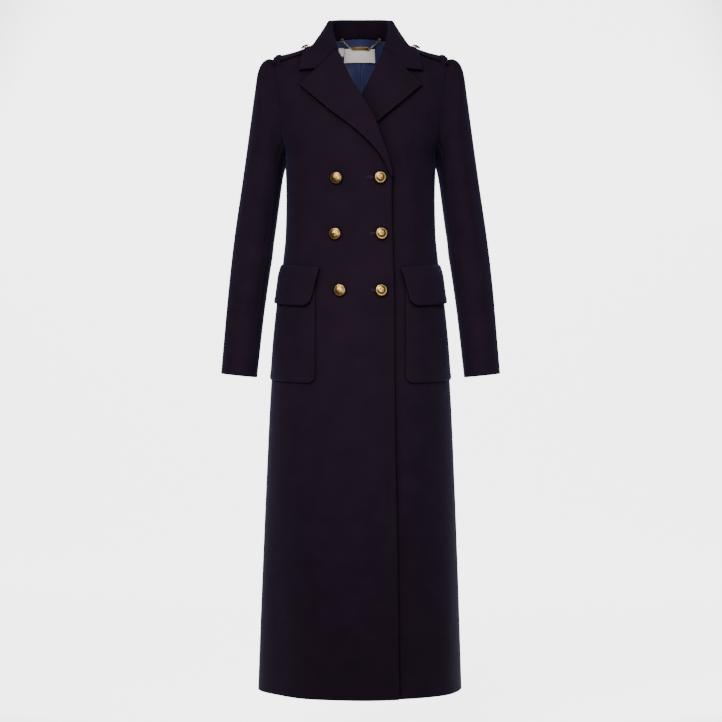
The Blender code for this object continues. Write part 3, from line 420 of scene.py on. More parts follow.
Section = namedtuple("Section", "height half_width front_depth back_depth squareness")
SECTIONS = [
    Section(-1.298, 0.2025, 0.1670, 0.158, 2.00),
    Section(-1.084, 0.1955, 0.1610, 0.153, 2.00),
    Section(-0.884, 0.1877, 0.1540, 0.147, 2.05),
    Section(-0.724, 0.1805, 0.1470, 0.141, 2.10),
    Section(-0.620, 0.1732, 0.1410, 0.131, 2.15),
    Section(-0.536, 0.1648, 0.1360, 0.112, 2.20),
    Section(-0.448, 0.1552, 0.1310, 0.094, 2.20),
    Section(-0.394, 0.1500, 0.1285, 0.088, 2.20),
    Section(-0.324, 0.1485, 0.1310, 0.093, 2.20),
    Section(-0.250, 0.1505, 0.1335, 0.103, 2.25),
    Section(-0.200, 0.1720, 0.1270, 0.107, 2.30),
    Section(-0.146, 0.1860, 0.1130, 0.107, 2.30),
    Section(-0.060, 0.1980, 0.0850, 0.099, 2.30),
    Section(0.000, 0.2040, 0.0640, 0.084, 2.30),
    Section(0.060, 0.2080, 0.0550, 0.070, 2.30),
]
ShoulderPoint = namedtuple("ShoulderPoint", "across height")
SHOULDER_LINE = [
    ShoulderPoint(0.000, 0.110),
    ShoulderPoint(0.040, 0.049),
    ShoulderPoint(0.060, 0.017),
    ShoulderPoint(NECK_SIDE_X, 0.000),
    ShoulderPoint(0.090, -0.0130),
    ShoulderPoint(0.117, -0.0270),
    ShoulderPoint(0.147, -0.0360),
    ShoulderPoint(SHOULDER_TIP_X, -0.042),
    ShoulderPoint(0.210, -0.052),
]
ArmholePoint = namedtuple("ArmholePoint", "turn front_angle back_angle")
ARMHOLE = [
    ArmholePoint(0.25, 59.0, 120.0),
    ArmholePoint(0.50, 57.5, 119.0),
    ArmholePoint(0.75, 67.0, 115.0),
    ArmholePoint(0.90, 82.0, 106.0),
    ArmholePoint(1.00, SIDE_SEAM_ANGLE, SIDE_SEAM_ANGLE),
]
print(len(SECTIONS), "sections of the body")

# %% Front edge and lapel sizes
EdgePoint = namedtuple("EdgePoint", "across height")
FRONT_EDGE = [
    EdgePoint(-0.0748, -1.298),
    EdgePoint(-0.0719, -1.029),
    EdgePoint(-0.0664, -0.721),
    EdgePoint(-0.0650, -0.509),
    EdgePoint(-0.0610, -0.352),
    EdgePoint(-0.0607, -0.290),
    EdgePoint(-0.0550, -0.257),
    EdgePoint(-0.0400, -0.215),
    EdgePoint(-0.0270, -0.177),
    EdgePoint(0.0000, -0.1275),
    EdgePoint(0.0164, -0.0997),
    EdgePoint(0.0345, -0.0617),
    EdgePoint(0.0440, -0.0370),
    EdgePoint(0.0600, -0.0130),
    EdgePoint(NECK_SIDE_X, 0.000),
]
LAPEL_EDGE = [
    EdgePoint(-0.0570, -0.292),
    EdgePoint(-0.0520, -0.274),
    EdgePoint(-0.0350, -0.2445),
    EdgePoint(0.0010, -0.206),
    EdgePoint(0.0600, -0.1585),
    EdgePoint(0.1180, -0.1065),
]
BREAK_HEIGHT, LAPEL_FOOT_HEIGHT, GORGE_HEIGHT = -0.292, -0.288, -0.037
LAP_SINK_AT_LAPEL, LAP_SINK_BELOW = 0.0105, 0.0064
LAP_SINK_TOP, LAP_SINK_BOTTOM, LAP_RAMP = -0.270, -0.340, 0.045
ROLL_RADIUS, ROLL_RADIUS_AT_BREAK, ROLL_GROWTH = 0.0034, 0.0018, 3
LAPEL_EDGE_LIFT, COLLAR_NOTCH_LIFT = 0.0052, 0.0066
LAPEL_START, LAPEL_EDGE_START = 0.0005, 0.06
NOTCH_SHARE, GORGE_GAP = 0.56, 0.0015
print(len(FRONT_EDGE), "points down the front edge,", len(LAPEL_EDGE), "along the lapel")


# %% Curves through tables
def smooth_curve(knots, values):
    """Returns a function: a curve through the knots that turns smoothly and never overshoots them."""
    pairs = sorted(zip(knots, values))
    knots = [pair[0] for pair in pairs]
    values = [pair[1] for pair in pairs]
    steps = [b - a for a, b in zip(knots, knots[1:])]
    rises = [(b - a) / step for a, b, step in zip(values, values[1:], steps)]
    slopes = [rises[0]]
    for before, after in zip(rises, rises[1:]):
        slopes.append(0.0 if before * after <= 0 else 2 * before * after / (before + after))
    slopes.append(rises[-1])

    def at(knot):
        knot = min(max(knot, knots[0]), knots[-1])
        i = min(bisect_right(knots, knot) - 1, len(steps) - 1)
        t = (knot - knots[i]) / steps[i]
        start = values[i] * (1 + 2 * t) * (1 - t) ** 2 + steps[i] * slopes[i] * t * (1 - t) ** 2
        end = values[i + 1] * t * t * (3 - 2 * t) - steps[i] * slopes[i + 1] * t * t * (1 - t)
        return start + end

    return at


def column(rows, name, key):
    """A smooth curve of one named column of a table against another."""
    return smooth_curve([getattr(row, key) for row in rows], [getattr(row, name) for row in rows])


def path(points):
    """A function from 0 to 1 along the points by their distance apart, as a list of coordinates."""
    lengths = [0.0]
    for a, b in zip(points, points[1:]):
        lengths.append(lengths[-1] + math.dist(a, b))
    shares = [length / lengths[-1] for length in lengths]
    curves = [smooth_curve(shares, [point[i] for point in points]) for i in range(len(points[0]))]
    return lambda share: [curve(share) for curve in curves]


def mix(a, b, share):
    return a + (b - a) * share


def ease(share):
    """0 to 1 with level ends."""
    share = min(max(share, 0.0), 1.0)
    return share * share * (3 - 2 * share)


def power(value, exponent):
    return math.copysign(abs(value) ** exponent, value)


half_width = column(SECTIONS, "half_width", "height")
front_depth = column(SECTIONS, "front_depth", "height")
back_depth = column(SECTIONS, "back_depth", "height")
squareness = column(SECTIONS, "squareness", "height")
shoulder_height = column(SHOULDER_LINE, "height", "across")
front_edge_x = column(FRONT_EDGE, "across", "height")
lapel_path = path(LAPEL_EDGE)
SHOULDER_TIP_HEIGHT = shoulder_height(SHOULDER_TIP_X)
print("waist half width", round(half_width(WAIST_HEIGHT), 4))


# %% The body's surface
def angle_at(across, height):
    """The angle round the body, from centre front, of a point that far from the centre."""
    share = min(abs(across) / half_width(height), 1.0)
    return math.copysign(math.degrees(math.asin(share ** (squareness(height) / 2))), across)


def across_at(angle, height):
    return half_width(height) * power(math.sin(math.radians(angle)), 2 / squareness(height))


def rounding(drop):
    """How much of the full depth the body has this far below the shoulder line."""
    share = min(max(drop / SHOULDER_ROUND, 0.0), 1.0)
    return math.sqrt(1 - (1 - share) ** 2)


def body_point(angle, height):
    """A point on the coat's outer surface: angle 0 is centre front and 90 the wearer's left side."""
    sine, cosine = math.sin(math.radians(angle)), math.cos(math.radians(angle))
    exponent = 2 / squareness(height)
    depth = front_depth(height) if cosine > 0 else back_depth(height)
    x = half_width(height) * power(sine, exponent)
    y = -depth * power(cosine, exponent) * rounding(shoulder_height(abs(x)) - height)
    return Vector((x, y, height))


def body_normal(angle, height):
    turn, rise = 0.2, 0.001
    along = body_point(angle + turn, height) - body_point(angle - turn, height)
    up = body_point(angle, height + rise) - body_point(angle, height - rise)
    return along.cross(up).normalized()


def on_body(angle, height, lift):
    return body_point(angle, height) + body_normal(angle, height) * lift


def on_front(across, height, lift):
    return on_body(angle_at(across, height), height, lift)


def front_normal(across, height):
    return body_normal(angle_at(across, height), height)


def shoulder_depth(across, height):
    """Full depth of the body at a distance from the centre, in front and behind."""
    share = max(1 - (min(abs(across) / half_width(height), 1.0)) ** squareness(height), 0.0)
    share = share ** (1 / squareness(height))
    return front_depth(height) * share, back_depth(height) * share


def shoulder_top(across, y):
    """Height of the shoulder over a point in plan, or None outside it."""
    height = shoulder_height(abs(across))
    for _ in range(SHOULDER_ROUNDS):
        front, back = shoulder_depth(across, height)
        share = abs(y) / (front if y < 0 else back)
        if share >= 1:
            return None
        height = shoulder_height(abs(across)) - SHOULDER_ROUND * (1 - math.sqrt(1 - share * share))
    return height


def on_shoulder(across, y, lift):
    """A point over the shoulder, moved out from the cloth."""
    step = 0.002
    here = Vector((across, y, shoulder_top(across, y)))
    outward = Vector((across + step, y, shoulder_top(across + step, y))) - here
    backward = Vector((across, y + step, shoulder_top(across, y + step))) - here
    return here + outward.cross(backward).normalized() * lift


def clear_of_body(point, clearance):
    """Moves a point out to a clearance from the coat's shoulders, chest and back, if it is nearer."""
    x, y, z = point
    front, back = shoulder_depth(x, z)
    full = front if y < 0 else back
    short_y = full * rounding(shoulder_height(abs(x)) - z) + clearance - abs(y)
    if short_y <= 0:
        return point
    top = shoulder_top(x, y)
    if top is None:
        return point + Vector((0, math.copysign(short_y, y), 0))
    short_z = top + clearance - z
    if short_z <= 0:
        return point
    share = short_y * short_z / (short_y ** 2 + short_z ** 2)
    return point + Vector((0, math.copysign(short_z, y), short_y)) * share


def mirrored(shape):
    """The same surface on the wearer's other side."""

    def other(*place):
        point = shape(*place)
        return Vector((-point.x, point.y, point.z))

    return other


def same(shape):
    return shape


UP = Vector((0, 0, 1))
SIDES = (("left", same, 1), ("right", mirrored, -1))
print("centre front at the waist:", [round(c, 4) for c in body_point(0, WAIST_HEIGHT)])

# %% [markdown]
# ## Soft folds
# The coat hangs smooth, with only a few long, shallow flutes that widen towards the hem and a few creases
# at the elbows. Simulating heavy melton would settle into much the same shape, so each fold is listed one
# by one: a soft bell of a given depth round one angle and height. A fold moves every layer at its place
# outwards together, so pockets, flaps and buttons stay seated on the cloth.

# %% Folds
Fold = namedtuple("Fold", "angle height depth angle_width height_width slant")
BODY_FOLDS = [
    Fold(-37.0, -1.33, 0.0030, 9.0, 0.36, 6.0),
    Fold(-58.0, -1.31, -0.0026, 8.0, 0.30, -5.0),
    Fold(-80.0, -1.34, 0.0036, 10.0, 0.42, 4.0),
    Fold(-12.0, -1.30, -0.0014, 8.0, 0.25, 3.0),
    Fold(38.0, -1.32, -0.0022, 8.0, 0.30, -6.0),
    Fold(61.0, -1.30, 0.0034, 9.0, 0.38, 7.0),
    Fold(86.0, -1.33, -0.0008, 9.0, 0.33, 2.0),
    Fold(112.0, -1.31, 0.0058, 11.0, 0.46, -5.0),
    Fold(136.0, -1.34, -0.0064, 10.0, 0.40, 4.0),
    Fold(163.0, -1.30, 0.0062, 11.0, 0.55, 3.0),
    Fold(-174.0, -1.32, -0.0050, 9.0, 0.37, -4.0),
    Fold(-149.0, -1.33, 0.0066, 12.0, 0.50, 5.0),
    Fold(-121.0, -1.30, -0.0056, 10.0, 0.43, -3.0),
    Fold(171.0, -0.470, -0.0030, 26.0, 0.022, 0.0),
    Fold(-168.0, -0.505, 0.0022, 24.0, 0.020, 0.0),
]
HALF_TURN, WHOLE_TURN = 180.0, 360.0
FOLD_REACH = 3


def turn_between(angle, other):
    """How far one angle is past another, the short way round."""
    return (angle - other + HALF_TURN) % WHOLE_TURN - HALF_TURN


def fold_depth(folds, angle, height):
    """How far the folds push the cloth out at an angle and a height."""
    depth = 0.0
    for fold in folds:
        rise = (height - fold.height) / fold.height_width
        if abs(rise) > FOLD_REACH:
            continue
        turned = turn_between(angle, fold.angle + fold.slant * (height - fold.height)) / fold.angle_width
        depth += fold.depth * math.exp(-rise * rise - turned * turned)
    return depth


def draped(shape):
    """The same surface, pushed out or in by the body's folds."""

    def folded(*place):
        point = shape(*place)
        outward = Vector((point.x, point.y, 0.0))
        angle = math.degrees(math.atan2(point.x, -point.y))
        return point + outward.normalized() * fold_depth(BODY_FOLDS, angle, point.z)

    return folded


print(len(BODY_FOLDS), "folds on the body")

# %% [markdown]
# ## A piece of cloth
# Every cloth piece is a flat grid, bent to its shape. The grid's own distances give its flat size and
# the coordinates for the weave. Near a sewn edge the cloth dips into the seam, less so where the seam is
# pressed flat; near a finished edge the turned-in layers make a slightly raised band that rounds off at
# the very edge. Sewn pieces lap by a fraction of a millimetre, so that no light comes through a seam.
# Solidify gives the cloth its thickness and Bevel softens the cut edge, as pressing does.

# %% Cloth
SEAM, PRESSED, EDGE, OPEN = "seam", "pressed seam", "edge", "open"
SEAM_DIPS, SEAM_DIP_WIDTH = {SEAM: 0.0013, PRESSED: 0.0002}, 0.0036
EDGE_RISE, EDGE_BAND, EDGE_FADE = 0.0007, 0.0085, 0.0040
EDGE_ROUND, EDGE_ROUND_RUN = 0.0012, 0.0052
EDGE_STOPS = (0.0, 0.0012, 0.0024, 0.0038, 0.0054, 0.0080, 0.0105, 0.0135)
BEVEL_SHARE, BEVEL_SEGMENTS, BEVEL_ANGLE = 0.42, 2, 55
Cut = namedtuple("Cut", "width length area")
cuts = {}


def stops(count, length):
    """Shares along a piece: evenly spaced, with closer ones near both ends, for its edges."""
    near = [stop / length for stop in EDGE_STOPS]
    margin = near[-1]
    middle = [mix(margin, 1 - margin, i / count) for i in range(1, count)]
    return near + middle + [1 - share for share in reversed(near)]


def even_stops(count):
    return [i / count for i in range(count + 1)]


def run_lengths(points, axis):
    """Distance along each line of the grid from its first point."""
    steps = np.linalg.norm(np.diff(points, axis=axis), axis=2)
    start = np.zeros_like(np.take(steps, [0], axis=axis))
    return np.cumsum(np.concatenate([start, steps], axis=axis), axis=axis)


def grid_normals(points):
    across = np.gradient(points, axis=1)
    along = np.gradient(points, axis=0)
    normals = np.cross(across, along)
    return normals / np.linalg.norm(normals, axis=2, keepdims=True)


def edge_relief(kind, distance):
    """Height of the cloth's face at a distance from one of its edges."""
    if kind in SEAM_DIPS:
        return -SEAM_DIPS[kind] * np.exp(-((distance / SEAM_DIP_WIDTH) ** 2))
    if kind == EDGE:
        share = np.clip((distance - EDGE_BAND) / EDGE_FADE, 0, 1)
        round_share = np.clip(1 - distance / EDGE_ROUND_RUN, 0, 1)
        return EDGE_RISE * (1 - share * share * (3 - 2 * share)) - EDGE_ROUND * round_share ** 2
    return np.zeros_like(distance)


def grid_area(points):
    first = np.cross(points[1:, 1:] - points[:-1, :-1], points[1:, :-1] - points[:-1, 1:])
    return float(np.linalg.norm(first, axis=2).sum() / 2)


def cloth(name, shape, across, along, thickness, facing, edges, material, middle=False):
    """A grid bent to shape(across, along); edges are those at across 0 and 1, along 0 and 1."""
    points = np.array([[shape(u, v) for u in across] for v in along], float)
    sideways, upward = run_lengths(points, 1), run_lengths(points, 0)
    relief = edge_relief(edges[0], sideways) + edge_relief(edges[1], sideways[:, -1:] - sideways)
    relief = relief + edge_relief(edges[2], upward) + edge_relief(edges[3], upward[-1:] - upward)
    normals = grid_normals(points) * facing
    placed = points + normals * relief[:, :, None]
    columns, rows = len(across) - 1, len(along) - 1
    bm = bmesh.new()
    bmesh.ops.create_grid(bm, x_segments=columns, y_segments=rows, size=0.5)
    cut = bm.loops.layers.uv.new("cut")
    cells = {}
    for vert in bm.verts:
        cell = round((vert.co.y + 0.5) * rows), round((vert.co.x + 0.5) * columns)
        cells[vert.index] = cell
        vert.co = placed[cell]
    for face in bm.faces:
        for loop in face.loops:
            cell = cells[loop.vert.index]
            loop[cut].uv = (sideways[cell], upward[cell])
    if facing < 0:
        bmesh.ops.reverse_faces(bm, faces=bm.faces[:])
    piece = smooth_object(name, bm, material)
    thick = piece.modifiers.new("thickness", "SOLIDIFY")
    thick.thickness = thickness
    thick.offset = 0.0 if middle else -1.0
    thick.use_even_offset = True
    rounded = piece.modifiers.new("rounded_edge", "BEVEL")
    rounded.width = thickness * BEVEL_SHARE
    rounded.segments = BEVEL_SEGMENTS
    rounded.limit_method = "ANGLE"
    rounded.angle_limit = math.radians(BEVEL_ANGLE)
    cuts[name] = Cut(float(sideways.max()), float(upward.max()), grid_area(points))
    return piece


def dress(piece, node):
    """The piece stands in for a solid of the frame: it hangs from the root, and the solid is hidden."""
    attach(piece, "root")
    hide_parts(node)
    return piece


def dress_sheet(piece, node):
    """Dresses the piece and prints its flat size and area, as measured on its grid."""
    dress(piece, node)
    cut = cuts[piece.name]
    area = min(cut.area, cut.width * cut.length)
    print(f"{piece.name}: {cut.width:.3f} x {cut.length:.3f} m, {cut.area:.4f} m2")
    return piece


SHELL = "_shell"


def wool_piece(node, shape, grid, edges, facing, thickness=CLOTH, middle=False):
    """One of the coat's own pieces, in wool; grid is its shares across and along."""
    piece = cloth(node + SHELL, shape, *grid, thickness, facing, edges, wool, middle)
    return dress_sheet(piece, node)


print("cloth ready")

# %% [markdown]
# ## Fronts and back
# Three long panels hang from the shoulder seams. They could be cut flat and draped by a simulation, but
# laid on the body's own sections they keep the photograph's outline. Rows of the grid lie level up to the
# armpit and then fan out to the shoulder seam. The wearer's right front laps over; the left one sinks
# under it by the thickness of the cloth, more where the lapel's roll needs room.

# %% Rows of the panels
RowPlace = namedtuple("RowPlace", "row front_edge back_centre")
ROWS = [
    RowPlace(0, HEM_HEIGHT, HEM_HEIGHT),
    RowPlace(11, WAIST_HEIGHT, WAIST_HEIGHT),
    RowPlace(13, BREAK_HEIGHT, BREAK_HEIGHT),
    RowPlace(14, LAPEL_FOOT_HEIGHT, LAPEL_FOOT_HEIGHT),
    RowPlace(15, ARMPIT_HEIGHT, ARMPIT_HEIGHT),
    RowPlace(22, GORGE_HEIGHT, -0.0550),
    RowPlace(23, -0.0214, -0.0244),
    RowPlace(24, -0.0105, -0.0025),
    RowPlace(25, -0.0046, 0.0106),
    RowPlace(26, -0.0025, BACK_NECK_RISE),
]
LAPEL_FOOT_ROW, ARMPIT_ROW, GORGE_ROW, LAST_ROW = 14, 15, 22, 26
BACK_COLUMNS, BACK_COLUMN_SPREAD = 20, 1.3
SHOULDER_SEAM_LEVEL = SHOULDER_TIP_HEIGHT - 0.020
SKIRT_STEPS, BODICE_STEPS, SKIRT_ROW_SPACING = 6, 5, 0.0822

shoulder_tip_angle = angle_at(SHOULDER_TIP_X, SHOULDER_TIP_HEIGHT)
armhole_points = [ArmholePoint(0.0, shoulder_tip_angle, HALF_TURN - shoulder_tip_angle)] + ARMHOLE
armhole_front = column(armhole_points, "front_angle", "turn")
armhole_back = column(armhole_points, "back_angle", "turn")


def row_height(along, name):
    """Height of a row of the grid at the front edge or at centre back, in straight steps between ROWS."""
    row = along * LAST_ROW
    for low, high in zip(ROWS, ROWS[1:]):
        if row <= high.row:
            share = (row - low.row) / (high.row - low.row)
            return mix(getattr(low, name), getattr(high, name), share)
    return getattr(ROWS[-1], name)


def panel_rows():
    """Shares from hem to shoulder: closer rows at the hem's edge and over the curved upper part."""
    hem = [stop / (LAST_ROW * SKIRT_ROW_SPACING) for stop in EDGE_STOPS]
    skirt = [i / SKIRT_STEPS for i in range(2, ARMPIT_ROW * SKIRT_STEPS)]
    bodice = [ARMPIT_ROW + i / BODICE_STEPS for i in range((LAST_ROW - ARMPIT_ROW) * BODICE_STEPS + 1)]
    return hem + [row / LAST_ROW for row in skirt + bodice]


print(len(panel_rows()), "rows from hem to shoulder")


# %% Panel shapes
def armhole_height(turn):
    return mix(SHOULDER_TIP_HEIGHT, ARMPIT_HEIGHT, (1 - math.cos(math.pi * turn)) / 2)


def armhole_climb(along):
    """0 up to the armpit, then 0 to 1 from the armpit to the shoulder seam."""
    return max((along * LAST_ROW - ARMPIT_ROW) / (LAST_ROW - ARMPIT_ROW), 0.0)


def seam_turn(height):
    """Half of what two sewn edges lap, as an angle round the body, so that no light comes through."""
    return math.degrees(SEAM_LAP / 2 / half_width(height))


def roll_radius(height):
    climb = (height - BREAK_HEIGHT) / (GORGE_HEIGHT - BREAK_HEIGHT)
    return mix(ROLL_RADIUS_AT_BREAK, ROLL_RADIUS, ease(climb * ROLL_GROWTH))


def edge_inset(height):
    """The front stops short of the roll line, where the lapel's roll takes over."""
    share = (height - BREAK_HEIGHT) / (LAPEL_FOOT_HEIGHT - BREAK_HEIGHT)
    return (roll_radius(height) + SEAM_GAP) * min(max(share, 0.0), 1.0)


def back_top(across):
    """Height of the back's upper edge: the neck seam, then the shoulder seam."""
    if across > NECK_SIDE_X:
        return shoulder_height(across)
    return BACK_NECK_RISE * (1 - (across / NECK_SIDE_X) ** 2)


def upper_height(angle, share, top):
    """Height that lies this share of the way from the armpit's level up to the piece's upper edge."""
    height = ARMPIT_HEIGHT
    for _ in range(HEIGHT_ROUNDS):
        height = mix(ARMPIT_HEIGHT, top(abs(across_at(angle, height))), share)
    return height


def panel_point(inner_angle, outer_angle, inner_height, across, climb, top):
    """A point of a front or back: rows lie level up to the armpit, then fan out to the upper edge."""
    angle = mix(inner_angle, outer_angle, across)
    if climb <= 0:
        return body_point(angle, inner_height)
    shares = []
    for end_angle, end_height in ((inner_angle, inner_height), (outer_angle, armhole_height(1 - climb))):
        rise = top(abs(across_at(end_angle, end_height))) - ARMPIT_HEIGHT
        shares.append(min((end_height - ARMPIT_HEIGHT) / rise, 1.0))
    share = mix(*shares, across) if climb < 1 else 1.0
    return body_point(angle, upper_height(angle, share, top))


def front_shape(across, along):
    """A front on the wearer's left: across from the front edge to the side, along from hem to shoulder."""
    climb = armhole_climb(along)
    height = row_height(along, "front_edge")
    inner_angle = angle_at(front_edge_x(height) + edge_inset(height), height)
    outer_angle = armhole_front(1 - climb) + seam_turn(height)
    return panel_point(inner_angle, outer_angle, height, across, climb, shoulder_height)


def back_shape(across, along):
    """The wearer's left half of the back: across from centre back to side, along from hem to shoulder."""
    climb = armhole_climb(along)
    outer_angle = armhole_back(1 - climb) - seam_turn(row_height(along, "back_centre"))
    spread = across ** BACK_COLUMN_SPREAD
    return panel_point(HALF_TURN, outer_angle, row_height(along, "back_centre"), spread, climb, back_top)


def whole_back(across, along):
    """Both halves of the back: across from the wearer's left side to the right one."""
    half = back_shape if across <= 0.5 else mirrored(back_shape)
    return half(abs(1 - 2 * across), along)


def beside_shoulder_seam(shape, side):
    """Keeps a piece on its own side of the shoulder seam, which runs over the top at y = 0."""

    def kept(across, along):
        point = shape(across, along)
        if point.z > SHOULDER_SEAM_LEVEL:
            point.y = side * max(side * point.y, -SEAM_LAP / 2)
        return point

    return kept


print("lower front corner:", [round(c, 3) for c in front_shape(0, 0)])

# %% Fronts and back in cloth
FRONT_SPAN, BACK_SPAN = 0.29, 0.56
FRONT_STEPS, BACK_STEPS = 44, 76


def lap_sink(across, height):
    """How far the left front lies inside the right one, which covers it up to its own edge."""
    if height > GORGE_HEIGHT:
        return 0.0
    covered = -front_edge_x(height) - across
    below = ease((height - LAP_SINK_TOP) / (LAP_SINK_BOTTOM - LAP_SINK_TOP))
    return mix(LAP_SINK_AT_LAPEL, LAP_SINK_BELOW, below) * ease((covered + LAP_RAMP) / LAP_RAMP)


def sunk(shape):
    """The same piece, laid under the other front."""

    def lower(*place):
        point = shape(*place)
        sink = lap_sink(point.x, point.z) if point.y < 0 else 0.0
        if sink <= 0:
            return point
        return point - front_normal(point.x, point.z) * sink

    return lower


front_edges = (EDGE, SEAM, OPEN, SEAM)
right_front = beside_shoulder_seam(draped(mirrored(front_shape)), -1)
left_front = beside_shoulder_seam(draped(sunk(front_shape)), -1)
back_panel = beside_shoulder_seam(draped(whole_back), 1)
front_grid = stops(FRONT_STEPS, FRONT_SPAN), panel_rows()
back_grid = stops(BACK_STEPS, BACK_SPAN), panel_rows()
back_edges = (SEAM, SEAM, OPEN, SEAM)
wool_piece("front_right", right_front, front_grid, front_edges, -1)
wool_piece("front_left", left_front, front_grid, front_edges, 1)
wool_piece("back", back_panel, back_grid, back_edges, 1)

# %% [markdown]
# ## Lapels and collar
# Both are cloth turned over a soft roll: from under the front's edge, round an arc of a few millimetres,
# and down to a fall that lies on the chest. The collar's sections run from centre back, where a stand
# holds it up, to the gorge, where its end follows the top of the lapel and leaves the notch open. Bending
# a flat piece with a modifier would crease it; an arc written into each section keeps the roll soft.

# %% Lapel shape
ARC_COLUMNS, FALL_COLUMNS, STAND_COLUMNS, POINT_COLUMNS = 18, 15, 6, 3
LAPEL_ROWS = GORGE_ROW - LAPEL_FOOT_ROW
LAPEL_STEPS, LAPEL_LENGTH = 56, 0.26
EDGE_SHARES = (0.5, 0.8, 1.0)


def rolled_over(roll, edge, radius, edge_lift, share):
    """A point of a section turned over at the roll, as (place on the front, height above it)."""
    arc_share = ARC_COLUMNS / (ARC_COLUMNS + FALL_COLUMNS)
    turned = math.pi * min(share / arc_share, 1.0)
    height = -CLOTH / 2 + radius * (1 - math.cos(turned))
    place = roll + Vector((radius * (1 - math.sin(turned)), 0.0))
    fall = max((share - arc_share) / (1 - arc_share), 0.0)
    return place.lerp(edge, fall), mix(height, edge_lift, fall)


def lapel_section(along):
    """Roll point, edge point and roll radius of the lapel, from its foot to the gorge."""
    row = LAPEL_FOOT_ROW + along * LAPEL_ROWS
    roll_height = row_height(row / LAST_ROW, "front_edge") + LAPEL_START * (1 - along)
    roll = Vector((front_edge_x(roll_height), roll_height))
    return roll, Vector(lapel_path(mix(LAPEL_EDGE_START, 1.0, along))), roll_radius(roll_height)


def lapel_shape(across, along):
    """A lapel on the wearer's left: across from the roll's underside to the outer edge."""
    roll, edge, radius = lapel_section(along)
    place, height = rolled_over(roll, edge, radius, LAPEL_EDGE_LIFT, across)
    return on_front(place.x, place.y, height)


lapel_across = [i / (ARC_COLUMNS + FALL_COLUMNS) for i in range(ARC_COLUMNS + FALL_COLUMNS)]
lapel_across += [mix(lapel_across[-1], 1.0, share) for share in EDGE_SHARES]
lapel_grid = lapel_across, stops(LAPEL_STEPS, LAPEL_LENGTH)
lapel_edges = (OPEN, EDGE, OPEN, EDGE)
for side, turned, facing in (("right", mirrored, 1), ("left", sunk, -1)):
    lapel = turned(lapel_shape)
    wool_piece(f"lapel_{side}", lapel, lapel_grid, lapel_edges, facing, middle=True)

# %% Collar sections
CollarStation = namedtuple("CollarStation", "share seam roll edge")
COLLAR = [
    CollarStation(0.00, (0.000, 0.0800, 0.0160), (0.000, 0.0700, 0.0462), (0.000, 0.1010, -0.0260)),
    CollarStation(0.22, (0.042, 0.0610, 0.0105), (0.036, 0.0560, 0.0445), (0.052, 0.0930, -0.0220)),
    CollarStation(0.42, (0.064, 0.0280, 0.0040), (0.0552, 0.0260, 0.0382), (0.082, 0.0490, -0.0130)),
    CollarStation(0.58, (0.0700, -0.0030, 0.0020), (0.0575, -0.0040, 0.0310), (0.086, -0.0030, -0.0050)),
    CollarStation(0.68, (0.0660, -0.0220, -0.0040), (0.0560, -0.0220, 0.0185), (0.0975, -0.0230, -0.0220)),
    CollarStation(0.78, (0.0595, -0.0410, -0.0125), (0.0530, -0.0400, 0.0020), (0.116, -0.0420, -0.0400)),
]
COLLAR_CLEARANCE, COLLAR_FOOT_LAP = 0.0042, 0.0035
COLLAR_POINT = EdgePoint(0.1180, -0.0770)
COLLAR_STEPS, COLLAR_LENGTH = 110, 0.52


def collar_points(station):
    """Points of one section of the collar: up the stand, over the roll and down the fall."""
    seam, roll, edge = Vector(station.seam), Vector(station.roll), Vector(station.edge)
    up = (roll - seam).normalized()
    seam = seam - up * COLLAR_FOOT_LAP
    outward = edge - roll
    outward = (outward - up * outward.dot(up)).normalized()
    centre = roll - up * ROLL_RADIUS + outward * ROLL_RADIUS
    foot = centre - outward * ROLL_RADIUS
    points = [seam.lerp(foot, i / STAND_COLUMNS) for i in range(STAND_COLUMNS)]
    turns = ARC_COLUMNS - STAND_COLUMNS
    for i in range(turns + 1):
        turned = math.pi * i / turns
        points.append(centre + (up * math.sin(turned) - outward * math.cos(turned)) * ROLL_RADIUS)
    start = points[-1]
    for i in range(1, FALL_COLUMNS + 1):
        point = start.lerp(edge, i / FALL_COLUMNS)
        points.append(clear_of_body(point, COLLAR_CLEARANCE))
    return points


def collar_end_points():
    """The collar's front end: along the top of the lapel to the notch, then out to the collar's point."""
    roll, edge, radius = lapel_section(1.0)
    notch = roll.lerp(edge, NOTCH_SHARE)
    arc_share = ARC_COLUMNS / (ARC_COLUMNS + FALL_COLUMNS)
    to_notch = FALL_COLUMNS - POINT_COLUMNS
    shares = [arc_share * i / ARC_COLUMNS for i in range(ARC_COLUMNS)]
    shares += [mix(arc_share, 1.0, i / to_notch) for i in range(to_notch + 1)]
    places = [rolled_over(roll, notch, radius, COLLAR_NOTCH_LIFT, share) for share in shares]
    for i in range(1, POINT_COLUMNS + 1):
        share = i / POINT_COLUMNS
        height = mix(COLLAR_NOTCH_LIFT, LAPEL_EDGE_LIFT, share)
        places.append((notch.lerp(Vector(COLLAR_POINT), share), height))
    straight_up = Vector((0.0, GORGE_GAP))
    from_lapel = Vector((GORGE_GAP, GORGE_GAP)) * math.sqrt(0.5)
    points = []
    for i, (place, height) in enumerate(places):
        place = place + (straight_up if i < ARC_COLUMNS else from_lapel)
        points.append(on_front(place.x, place.y, height))
    return points


sections = [collar_points(station) for station in COLLAR] + [collar_end_points()]
collar_shares = [station.share for station in COLLAR] + [1.0]
collar_columns = []
for points in zip(*sections):
    collar_columns.append([smooth_curve(collar_shares, coordinates) for coordinates in zip(*points)])


def half_collar(across, along):
    """The wearer's left half: across from the neck seam to the edge, along from centre back."""
    place = across * (len(collar_columns) - 1)
    low = min(int(place), len(collar_columns) - 2)
    before = Vector([curve(along) for curve in collar_columns[low]])
    after = Vector([curve(along) for curve in collar_columns[low + 1]])
    return before.lerp(after, place - low)


def whole_collar(across, along):
    side = half_collar if along <= 0.5 else mirrored(half_collar)
    return side(across, abs(1 - 2 * along))


